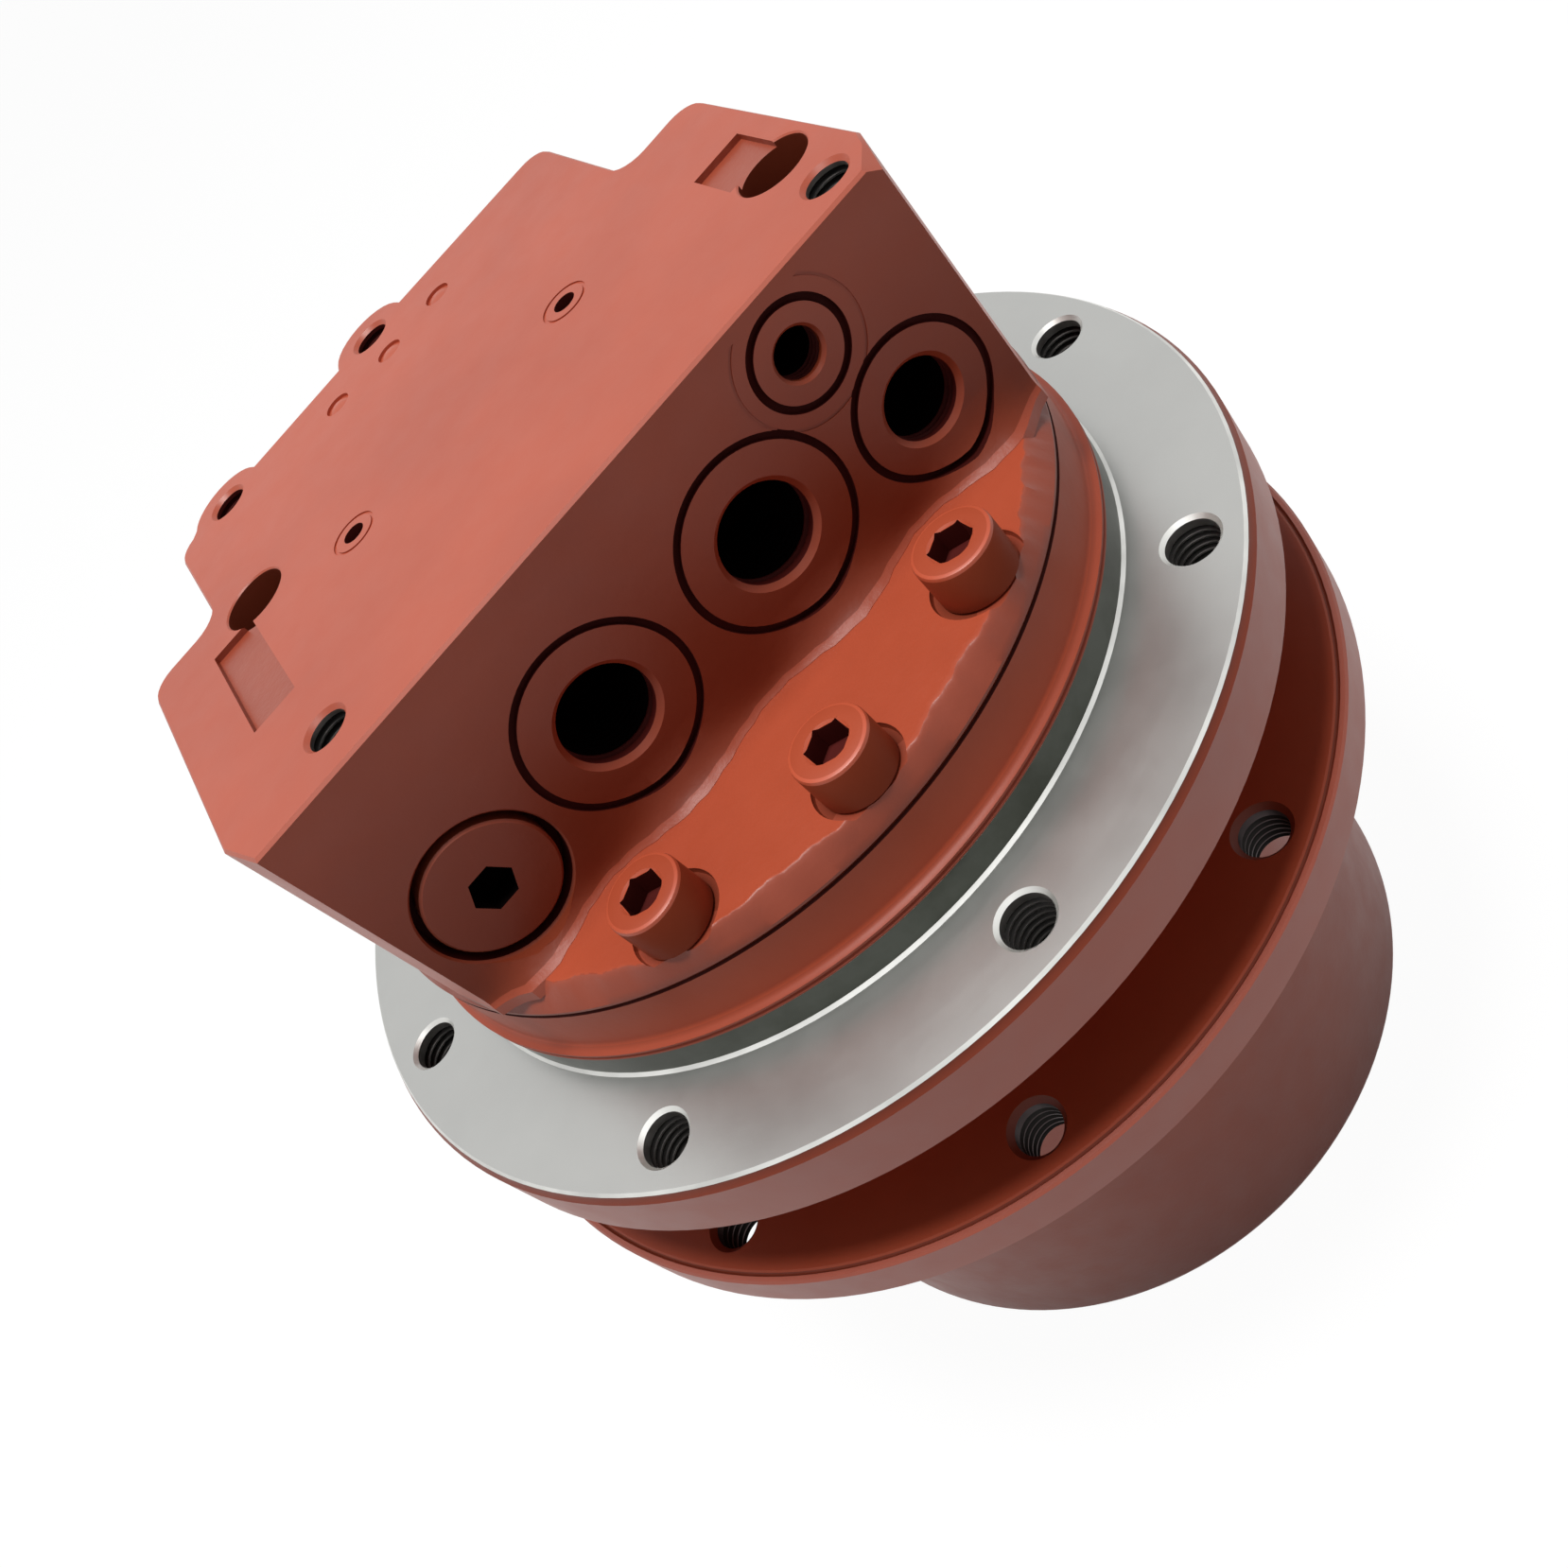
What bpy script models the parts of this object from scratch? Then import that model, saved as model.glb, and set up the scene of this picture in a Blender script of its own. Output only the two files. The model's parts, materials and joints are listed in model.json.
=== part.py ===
# Compact-excavator final drive: an axial-piston motor and a two-stage planetary gearbox on one axis.
# Metres, +Z up along the axis. The unit stands on the hub's end face at Z = 0, ports face -Y.

import math

import bmesh
import bpy
from mathutils import Matrix, Vector

# Running and assembly clearances, and how far a cutter runs past the face that it opens
GAP = 0.0003
OVERRUN = 0.002

# Facets round a circle
FINE = 32
MEDIUM = 20
COARSE = 10
TINY = 6

# Axial levels of the outside
HUB_BASE = 0.0
SPROCKET_FLANGE_BOTTOM = 0.097
SPROCKET_FLANGE_THICKNESS = 0.0115
HUB_NECK_TOP = 0.133
FRAME_FLANGE_BOTTOM = 0.136
FRAME_FLANGE_THICKNESS = 0.017
SPIGOT_HEIGHT = 0.0075
CASE_ABOVE_FACE = 0.0225
BLOCK_FOOT_THICKNESS = 0.006
BLOCK_HEIGHT = 0.0612

# Gears: one module all through, tooth counts set the ratio
MODULE = 0.003
PRESSURE_ANGLE = math.radians(20)
RING_TEETH = 48
SUN_1_TEETH = 12
SUN_2_TEETH = 18
PLANET_COUNT = 3
PLANET_START = math.radians(90)
ADDENDUM = 0.9 * MODULE
DEDENDUM = 1.25 * MODULE
RING_ADDENDUM = 0.8 * MODULE
RING_DEDENDUM = 1.3 * MODULE
BACKLASH = 0.00025
RING_PITCH_R = RING_TEETH * MODULE / 2

# Radii of the hub, from the ring gear outwards and inwards
RING_GEAR_WALL = 0.0071
RING_SEAT_R = RING_PITCH_R + RING_DEDENDUM + RING_GEAR_WALL
CLIP_GROOVE_R = RING_SEAT_R + 0.0025
HUB_WALL = 0.0035
HUB_R = CLIP_GROOVE_R + HUB_WALL
HUB_NECK_R = HUB_R + 0.001
SPROCKET_FLANGE_REACH = 0.025
SPROCKET_FLANGE_R = HUB_NECK_R + SPROCKET_FLANGE_REACH
BEARING_SEAT_R = RING_SEAT_R - 0.0037
HUB_RIB_R = BEARING_SEAT_R - 0.0053
SEAL_BORE_R = HUB_NECK_R - 0.006
CLIP_GROOVE_BOTTOM = 0.0018
CLIP_THICKNESS = 0.0020
CLIP_WIDTH = 0.0052
CLIP_OPENING = math.radians(14)

# Radii of the motor, from the cylinder barrel outwards
BARREL_R = 0.036
PISTON_CIRCLE_R = 2 * BARREL_R / 3
CHAMBER_R = BARREL_R + 0.010
BRAKE_BORE_R = CHAMBER_R + 0.004
CASE_WALL = 0.0375
CASE_R = BRAKE_BORE_R + CASE_WALL
SPIGOT_R = CASE_R + 0.002
FRAME_FLANGE_REACH = 0.0245
FRAME_FLANGE_R = SPIGOT_R + FRAME_FLANGE_REACH

# Bolt circles
FRAME_BOLT_COUNT = 8
FRAME_BOLT_R = FRAME_FLANGE_R - 0.0115
FRAME_TAP_R = 0.0051
FRAME_TAP_MOUTH_R = 0.0059
FRAME_TAP_DEPTH = 0.0148
SPROCKET_BOLT_COUNT = 9
SPROCKET_BOLT_R = SPROCKET_FLANGE_R - 0.012
SPROCKET_HOLE_R = 0.0062
SPROCKET_BOLT_PHASE = math.radians(15)

# Axial stack of the gearbox
COVER_THICKNESS = 0.0100
RING_GEAR_HEIGHT = 0.0508
PLANET_1_WIDTH = 0.016
PLANET_2_WIDTH = 0.0165
CARRIER_THICKNESS = 0.0065
SUN_FACE_EXTRA = 0.0005
COVER_PLUG_R = 0.0085
COVER_PLUG_CIRCLE_R = 0.055
COVER_PLUG_SOCKET_R = 0.0040

# Spindle end of the motor case, its bearings and the face seal
SPINDLE_END = 0.060
SPINDLE_R = BEARING_SEAT_R - 0.0193
SPINDLE_SHOULDER_R = SPINDLE_R + 0.006
BEARING_WIDTH = 0.0152
BEARING_RIB = 0.0070
BEARING_LOWER_BOTTOM = 0.069
INNER_RACE_WALL = 0.0042
OUTER_RACE_WALL = 0.0050
ROLLER_COUNT = 9
NUT_R = SPINDLE_R + 0.0065
NUT_WIDTH = 0.0072
PIN_R = 0.0072
PIN_DEPTH = 0.0135
PIN_PLAY = 0.0008
SEAL_SKIRT_R = SEAL_BORE_R - 0.0012
SEAL_SKIRT_INNER_R = SEAL_SKIRT_R - 0.0028
SEAL_SKIRT_DEPTH = 0.010
SEAL_INNER_R = SEAL_SKIRT_INNER_R - 0.010

# Piston motor
CHAMBER_FLOOR = 0.081
BRAKE_SHOULDER = 0.1397
BARREL_BOTTOM = 0.126
PISTON_COUNT = 7
PISTON_R = 0.0062
PISTON_BORE_TOP = 0.165
PISTON_TOP_PLAY = 0.004
PISTON_TIP_DROP = 0.0072
SWASH_PIVOT_Z = 0.1065
SWASH_TILT = math.radians(15)
SWASH_R = 0.038
SWASH_FACE = 0.004
SWASH_THICKNESS = 0.010
SWASH_HOLE_R = 0.017
CRADLE_R = 0.024
CRADLE_INNER_X = 0.025
CRADLE_WIDTH = 0.0115
CRADLE_PAD_HEIGHT = 0.0105
PAD_HALF_DEPTH = 0.014
SHOE_R = 0.0072
SHOE_PLATE_R = 0.033
GUIDE_BALL_R = 0.0152
NOSE_R = 0.0130
SPEED_PISTON_Y = 0.033
SPEED_PISTON_R = 0.006
SPEED_PISTON_BASE = 0.0708
SPEED_PISTON_TOP = 0.0828

# Shaft and its bearings
SHAFT_GEAR_R = 0.0087
SHAFT_SEAL_R = 0.0125
SHAFT_SPLINE_R = 0.011
SHAFT_TAIL_R = 0.009
SHAFT_TOP = 0.190
FRONT_BEARING_R = 0.0235
FRONT_BEARING_BOTTOM = 0.069
BEARING_SHOULDER = 0.003
SEAL_SEAT_R = 0.020
REAR_BEARING_R = 0.014

# Parking brake
BRAKE_DISC = 0.004
BRAKE_GAP = 0.0003
BRAKE_PISTON_HEIGHT = 0.019

# Port block
BLOCK_FRONT_Y = -(CASE_R - 0.0415)
BLOCK_HALF_WIDTH = CASE_R - 0.0075
BLOCK_CHAMFER_WIDTH = 0.0045
BLOCK_CHAMFER_DEPTH = 0.011
BLOCK_STEP_Y = 0.037
BLOCK_STEP_RIGHT_Y = 0.031
BLOCK_REAR_HALF_WIDTH = CASE_R - 0.027
BLOCK_REAR_Y = CASE_R - 0.0085
BLOCK_CORNER_R = 0.006
REAR_BOSS_R = 0.0105
REAR_BOSSES = ((0.004, BLOCK_REAR_Y + 0.0005), (-0.0445, BLOCK_REAR_Y - 0.0015))
TOP_TAPS = ((0.070, -0.037), (-0.0535, -0.033)) + REAR_BOSSES
TOP_TAP_R = 0.0043
TOP_TAP_MOUTH_R = 0.0050
TOP_TAP_DEPTH = 0.018
ORIFICES = ((0.031, 0.010), (-0.028, 0.0125))
ORIFICE_R = 0.0025
ORIFICE_DEPTH = 0.006
SKIRT_STEP = 0.0045
SKIRT_HEIGHT = 0.0035
SKIRT_INSET = 0.014
PORT_Z = 0.0516
LOW_PORT_Z = 0.0460
PILOT_Z = 0.0706
MAIN_PORT_X = 0.021
SIDE_PORT_X = 0.0573
PILOT_X = 0.0456
MAIN_PORT = dict(bore=0.0095, mouth=0.0105, depth=0.026, ring=0.0176)
DRAIN_PORT = dict(bore=0.0076, mouth=0.0084, depth=0.016, ring=0.0142)
PILOT_PORT = dict(bore=0.0045, mouth=0.0050, depth=0.017, ring=0.0094)
RING_GROOVE_WIDTH = 0.0015
RING_GROOVE_DEPTH = 0.0009
PLUG_HEAD_R = 0.0133
PLUG_RECESS_R = 0.0150
PLUG_HEAD = 0.005
PLUG_THREAD_R = 0.0100
PLUG_LENGTH = 0.014
SOCKET_R = 0.0048
SOCKET_DEPTH = 0.006
SPEED_SPOOL_R = 0.0067
SPEED_SPOOL_TRAVEL = 0.005
SPEED_SPOOL_LENGTH = 0.034
SPOOL_Z = 0.220
SPOOL_Y = 0.006
SPOOL_R = 0.009
SPOOL_LENGTH = 0.084
CAP_R = 0.012
CAP_LENGTH = 0.016

# Socket-head screws that hold the block on the case
LEDGE_SCREW = dict(shank=0.005, head=0.008, height=0.010, grip=0.021, socket=0.0046)
WELL_SCREW = dict(shank=0.004, head=0.0065, height=0.008, grip=0.018, socket=0.0035)
SCREW_SOCKET_DEPTH = 0.005
SCREW_CIRCLE_R = CASE_R - 0.0088
SCREW_ANGLES = (-60, -90, -120, 35, 145)
SCREW_SEAT_DROP = 0.001
SCREW_SPACE_R = LEDGE_SCREW["head"] + 2 * GAP
SCREW_SPACE_ROOF = 0.016
WELL_SCREWS = ((CASE_R - 0.0151, math.radians(-14.80)), (CASE_R - 0.02864, math.radians(151.04)))
WELL_R = WELL_SCREW["head"] + 0.001
TAG_DEPTH = 0.0012
TAGS = ((0.0685, -0.0060, 0.0120, 0.0150), (-0.0595, 0.0047, 0.0108, 0.0364))

# Derived levels
FRAME_FACE = FRAME_FLANGE_BOTTOM + FRAME_FLANGE_THICKNESS
SPIGOT_TOP = FRAME_FACE + SPIGOT_HEIGHT
CASE_TOP = FRAME_FACE + CASE_ABOVE_FACE
BLOCK_BOTTOM = CASE_TOP + GAP
LEDGE = BLOCK_BOTTOM + BLOCK_FOOT_THICKNESS
BLOCK_TOP = FRAME_FACE + CASE_ABOVE_FACE + BLOCK_HEIGHT + GAP
SPROCKET_FLANGE_TOP = SPROCKET_FLANGE_BOTTOM + SPROCKET_FLANGE_THICKNESS
COVER_BOTTOM = CLIP_GROOVE_BOTTOM + CLIP_THICKNESS + 2 * GAP
COVER_TOP = COVER_BOTTOM + COVER_THICKNESS
RING_GEAR_BOTTOM = COVER_TOP + GAP
RING_GEAR_TOP = RING_GEAR_BOTTOM + RING_GEAR_HEIGHT
BEARING_LOWER_TOP = BEARING_LOWER_BOTTOM + BEARING_WIDTH
BEARING_UPPER_BOTTOM = BEARING_LOWER_TOP + BEARING_RIB + 2 * GAP
BEARING_UPPER_TOP = BEARING_UPPER_BOTTOM + BEARING_WIDTH
SPINDLE_SHOULDER = BEARING_UPPER_TOP + GAP
PLANET_1_TEETH = (RING_TEETH - SUN_1_TEETH) // 2
PLANET_2_TEETH = (RING_TEETH - SUN_2_TEETH) // 2
PLANET_1_CIRCLE_R = (SUN_1_TEETH + PLANET_1_TEETH) * MODULE / 2
PLANET_2_CIRCLE_R = (SUN_2_TEETH + PLANET_2_TEETH) * MODULE / 2
PLANET_1_BOTTOM = COVER_TOP + 0.0012
CARRIER_BOTTOM = PLANET_1_BOTTOM + PLANET_1_WIDTH + SUN_FACE_EXTRA
CARRIER_TOP = CARRIER_BOTTOM + CARRIER_THICKNESS
PLANET_2_BOTTOM = CARRIER_TOP + 0.0022
SEAL_FLOOR = BEARING_UPPER_TOP + 0.0055
SEAL_SPLIT = 0.5 * (HUB_NECK_TOP + SPINDLE_SHOULDER) + 0.004
BARREL_TOP = CASE_TOP - 0.0040

PAINT = (0.47, 0.155, 0.105)
STEEL = (0.55, 0.55, 0.54)
DARK_STEEL = (0.20, 0.20, 0.21)
BRONZE = (0.62, 0.42, 0.20)
RUBBER = (0.03, 0.03, 0.03)


def clear_scene():
    for obj in list(bpy.data.objects):
        bpy.data.objects.remove(obj, do_unlink=True)


def finish(name, colour, roughness, metallic):
    """One Principled material, shared by every object that asks for the same name."""
    material = bpy.data.materials.get(name)
    if material is None:
        material = bpy.data.materials.new(name)
        material.use_nodes = True
        shader = material.node_tree.nodes["Principled BSDF"]
        shader.inputs["Base Color"].default_value = (*colour, 1.0)
        shader.inputs["Roughness"].default_value = roughness
        shader.inputs["Metallic"].default_value = metallic
    return material


def paint():
    return finish("primer_paint", PAINT, 0.5, 0.0)


def steel():
    return finish("machined_steel", STEEL, 0.35, 1.0)


def dark_steel():
    return finish("hardened_steel", DARK_STEEL, 0.4, 1.0)


def bronze():
    return finish("bronze", BRONZE, 0.4, 1.0)


def rubber():
    return finish("seal_rubber", RUBBER, 0.7, 0.0)


def make_object(name, mesh_builder, material, location=(0, 0, 0), rotation=(0, 0, 0), parent=None):
    """Turns a bmesh into a named object with smooth round faces."""
    mesh = bpy.data.meshes.new(name)
    mesh_builder.to_mesh(mesh)
    mesh_builder.free()
    obj = bpy.data.objects.new(name, mesh)
    bpy.context.collection.objects.link(obj)
    obj.location = location
    obj.rotation_euler = rotation
    obj.parent = parent
    if material is None:
        obj.hide_render = True
        obj.display_type = "WIRE"
    else:
        mesh.materials.append(material)
        mesh.shade_smooth()
        mesh.set_sharp_from_angle(angle=math.radians(35))
    return obj


def empty_at(name, location, rotation=(0, 0, 0), parent=None):
    """The frame of a joint: what moves with it is parented to it."""
    obj = bpy.data.objects.new(name, None)
    bpy.context.collection.objects.link(obj)
    obj.location = location
    obj.rotation_euler = rotation
    obj.parent = parent
    return obj


def settle(bm):
    bmesh.ops.remove_doubles(bm, verts=bm.verts, dist=1e-7)
    bmesh.ops.recalc_face_normals(bm, faces=bm.faces)
    return bm


def turned(profile, segments, axis="Z", phase=0.0):
    """A (radius, height) profile spun a full turn. One that starts and ends on the axis is solid."""
    bm = bmesh.new()
    verts = [bm.verts.new((r, 0, z)) for r, z in profile]
    edges = [bm.edges.new(pair) for pair in zip(verts, verts[1:])]
    if profile[0][0] > 0 or profile[-1][0] > 0:
        edges.append(bm.edges.new((verts[-1], verts[0])))
    bmesh.ops.spin(
        bm, geom=verts + edges, cent=(0, 0, 0), axis=(0, 0, 1), dvec=(0, 0, 0),
        angle=2 * math.pi, steps=segments, use_merge=True,
    )
    settle(bm)
    if phase:
        bmesh.ops.rotate(bm, verts=bm.verts, cent=(0, 0, 0), matrix=Matrix.Rotation(phase, 3, "Z"))
    if axis == "X":
        bmesh.ops.rotate(bm, verts=bm.verts, cent=(0, 0, 0), matrix=Matrix.Rotation(math.pi / 2, 3, "Y"))
    if axis == "-Y":
        bmesh.ops.rotate(bm, verts=bm.verts, cent=(0, 0, 0), matrix=Matrix.Rotation(math.pi / 2, 3, "X"))
    return bm


def ring(inner, outer, bottom, top, segments):
    return turned([(inner, bottom), (outer, bottom), (outer, top), (inner, top)], segments)


def rod(radius, bottom, top, segments, axis="Z", chamfer=0.0):
    """A plain round bar; with a chamfer both ends are broken."""
    if chamfer:
        profile = [
            (0, bottom), (radius - chamfer, bottom), (radius, bottom + chamfer),
            (radius, top - chamfer), (radius - chamfer, top), (0, top),
        ]
    else:
        profile = [(0, bottom), (radius, bottom), (radius, top), (0, top)]
    return turned(profile, segments, axis)


def prism(outline, bottom, top):
    """An outline in the XY plane raised from bottom to top."""
    bm = bmesh.new()
    face = bm.faces.new([bm.verts.new((x, y, bottom)) for x, y in outline])
    raised = bmesh.ops.extrude_face_region(bm, geom=[face])
    up = [v for v in raised["geom"] if isinstance(v, bmesh.types.BMVert)]
    bmesh.ops.translate(bm, verts=up, vec=(0, 0, top - bottom))
    return settle(bm)


def box(low, high):
    bm = bmesh.new()
    bmesh.ops.create_cube(bm, size=1.0)
    size = Vector(high) - Vector(low)
    bmesh.ops.scale(bm, vec=size, verts=bm.verts)
    bmesh.ops.translate(bm, vec=(Vector(high) + Vector(low)) / 2, verts=bm.verts)
    return bm


def moved(bm, offset):
    bmesh.ops.translate(bm, verts=bm.verts, vec=offset)
    return bm


def joined(parts):
    """Several shapes that stay clear of each other, as one mesh."""
    whole = bmesh.new()
    for bm in parts:
        scratch = bpy.data.meshes.new("scratch")
        bm.to_mesh(scratch)
        bm.free()
        whole.from_mesh(scratch)
        bpy.data.meshes.remove(scratch)
    return whole


def boolean(obj, shape, operation, name):
    """Cuts from, or adds to, an object with a hidden helper that stays in the file."""
    helper = make_object(f"{obj.name}_{name}", shape, None)
    helper.parent = obj.parent
    modifier = obj.modifiers.new(name, "BOOLEAN")
    modifier.operation = operation
    modifier.object = helper
    return helper


def arc(centre, radius, start, end, count):
    """Points along an arc, both ends included, angles in degrees."""
    step = math.radians(end - start) / count
    first = math.radians(start)
    return [
        (centre[0] + radius * math.cos(first + k * step), centre[1] + radius * math.sin(first + k * step))
        for k in range(count + 1)
    ]


def polar(radius, angle):
    return (radius * math.cos(angle), radius * math.sin(angle))


def involute(angle):
    return math.tan(angle) - angle


def gear_outline(teeth, tip, root, thinned, phase):
    """Involute teeth, each flank drawn at its root, pitch and tip radius."""
    pitch = teeth * MODULE / 2
    base = pitch * math.cos(PRESSURE_ANGLE)
    points = []
    for k in range(teeth):
        centre = phase + 2 * math.pi * k / teeth
        flank = []
        for r in (root, pitch, tip):
            local = math.acos(base / r) if r > base else 0.0
            half = math.pi / (2 * teeth) + involute(PRESSURE_ANGLE) - involute(local) - thinned / (2 * pitch)
            flank.append((r, half))
        points += [polar(r, centre - half) for r, half in flank]
        points += [polar(r, centre + half) for r, half in reversed(flank)]
    return points


def spur_gear(teeth, bottom, top, phase):
    pitch = teeth * MODULE / 2
    return prism(gear_outline(teeth, pitch + ADDENDUM, pitch - DEDENDUM, BACKLASH, phase), bottom, top)


def planet_angles():
    return [PLANET_START + 2 * math.pi * k / PLANET_COUNT for k in range(PLANET_COUNT)]


def planet_phase(azimuth, teeth):
    """Turns a planet so that its tooth fills the ring's tooth space, which lies at angle 0."""
    return azimuth - RING_TEETH * azimuth / teeth


def sun_phase(sun_teeth, planet_teeth):
    """Turns a sun so that its tooth fills the first planet's tooth space."""
    azimuth = PLANET_START
    facing = azimuth + math.pi - planet_phase(azimuth, planet_teeth)
    return azimuth - (math.pi - planet_teeth * facing) / sun_teeth


def hex_socket(radius, depth, top, axis="Z"):
    """A six-sided pocket that overruns the face it is sunk into."""
    profile = [(0, top - depth), (radius, top - depth), (radius, top + OVERRUN), (0, top + OVERRUN)]
    return turned(profile, 6, axis)


def make_hub(spin):
    """Rotating housing: bores for ring gear, bearings and face seal, with the sprocket flange outside."""
    edge = 0.0012
    fillet = 0.003
    profile = [
        (HUB_R - fillet, HUB_BASE), (HUB_R, HUB_BASE + fillet),
        (HUB_R, SPROCKET_FLANGE_BOTTOM - fillet), (HUB_R + fillet, SPROCKET_FLANGE_BOTTOM),
        (SPROCKET_FLANGE_R - edge, SPROCKET_FLANGE_BOTTOM),
        (SPROCKET_FLANGE_R, SPROCKET_FLANGE_BOTTOM + edge),
        (SPROCKET_FLANGE_R, SPROCKET_FLANGE_TOP - edge), (SPROCKET_FLANGE_R - edge, SPROCKET_FLANGE_TOP),
        (HUB_NECK_R, SPROCKET_FLANGE_TOP), (HUB_NECK_R, HUB_NECK_TOP - edge),
        (HUB_NECK_R - edge, HUB_NECK_TOP),
        (SEAL_BORE_R, HUB_NECK_TOP), (SEAL_BORE_R, SEAL_FLOOR), (BEARING_SEAT_R, SEAL_FLOOR),
        (BEARING_SEAT_R, BEARING_UPPER_BOTTOM - GAP), (HUB_RIB_R, BEARING_UPPER_BOTTOM - GAP),
        (HUB_RIB_R, BEARING_LOWER_TOP + GAP), (BEARING_SEAT_R, BEARING_LOWER_TOP + GAP),
        (BEARING_SEAT_R, RING_GEAR_TOP + GAP), (RING_SEAT_R, RING_GEAR_TOP + GAP),
        (RING_SEAT_R, CLIP_GROOVE_BOTTOM + CLIP_THICKNESS + GAP),
        (CLIP_GROOVE_R, CLIP_GROOVE_BOTTOM + CLIP_THICKNESS + GAP),
        (CLIP_GROOVE_R, CLIP_GROOVE_BOTTOM - GAP), (RING_SEAT_R, CLIP_GROOVE_BOTTOM - GAP),
        (RING_SEAT_R, HUB_BASE),
    ]
    hub = make_object("hub", turned(profile, FINE), paint(), parent=spin)
    holes = []
    for k in range(SPROCKET_BOLT_COUNT):
        x, y = polar(SPROCKET_BOLT_R, SPROCKET_BOLT_PHASE + 2 * math.pi * k / SPROCKET_BOLT_COUNT)
        hole = rod(SPROCKET_HOLE_R, SPROCKET_FLANGE_BOTTOM - OVERRUN, SPROCKET_FLANGE_TOP + OVERRUN, COARSE)
        holes.append(moved(hole, (x, y, 0)))
    boolean(hub, joined(holes), "DIFFERENCE", "bolt_holes")
    return hub


def make_ring_gear(spin):
    blank = rod(RING_SEAT_R - GAP, RING_GEAR_BOTTOM, RING_GEAR_TOP, FINE)
    gear = make_object("ring_gear", blank, dark_steel(), parent=spin)
    root, tip = RING_PITCH_R + RING_DEDENDUM, RING_PITCH_R - RING_ADDENDUM
    outline = gear_outline(RING_TEETH, root, tip, -BACKLASH, 0.0)
    teeth = prism(outline, RING_GEAR_BOTTOM - OVERRUN, RING_GEAR_TOP + OVERRUN)
    boolean(gear, teeth, "DIFFERENCE", "teeth")


def make_end_cover(spin):
    """Disc that closes the gearbox, with a thrust pad for the shaft and two oil plugs."""
    pad_r, pad_rise = 0.012, 0.0004
    plug_inset = 0.0005
    socket_depth = 0.005
    disc = rod(RING_SEAT_R - GAP, COVER_BOTTOM, COVER_TOP, FINE, chamfer=0.0008)
    cover = make_object("end_cover", disc, paint(), parent=spin)
    pad = rod(pad_r, COVER_TOP - COVER_THICKNESS / 2, COVER_TOP + pad_rise, COARSE)
    boolean(cover, pad, "UNION", "thrust_pad")
    holes = []
    for side in (-1, 1):
        hole = rod(COVER_PLUG_R + GAP, COVER_BOTTOM - OVERRUN, COVER_TOP + OVERRUN, COARSE)
        holes.append(moved(hole, (0, side * COVER_PLUG_CIRCLE_R, 0)))
    boolean(cover, joined(holes), "DIFFERENCE", "plug_holes")
    for side, name in ((-1, "oil_drain_plug"), (1, "oil_level_plug")):
        plug = make_object(
            name, rod(COVER_PLUG_R, COVER_BOTTOM + GAP, COVER_TOP - plug_inset, COARSE), dark_steel(),
            location=(0, side * COVER_PLUG_CIRCLE_R, 0), parent=spin,
        )
        socket = rod(COVER_PLUG_SOCKET_R, COVER_BOTTOM - OVERRUN, COVER_BOTTOM + socket_depth, 6)
        helper = boolean(plug, socket, "DIFFERENCE", "socket")
        helper.location = plug.location


def make_cover_clip(spin):
    """Open spring ring that holds the cover in the hub."""
    inner = CLIP_GROOVE_R - CLIP_WIDTH
    outer = CLIP_GROOVE_R - 2 * GAP
    sweep = 2 * math.pi - CLIP_OPENING
    low, high = CLIP_GROOVE_BOTTOM, CLIP_GROOVE_BOTTOM + CLIP_THICKNESS
    bm = bmesh.new()
    corners = [(inner, low), (outer, low), (outer, high), (inner, high)]
    start = Matrix.Rotation(CLIP_OPENING / 2 - math.pi / 2, 3, "Z")
    face = bm.faces.new([bm.verts.new(start @ Vector((r, 0, z))) for r, z in corners])
    bmesh.ops.spin(
        bm, geom=[face], cent=(0, 0, 0), axis=(0, 0, 1), dvec=(0, 0, 0), angle=sweep, steps=FINE - 2,
    )
    bmesh.ops.recalc_face_normals(bm, faces=bm.faces)
    make_object("cover_clip", bm, dark_steel(), parent=spin)


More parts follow.
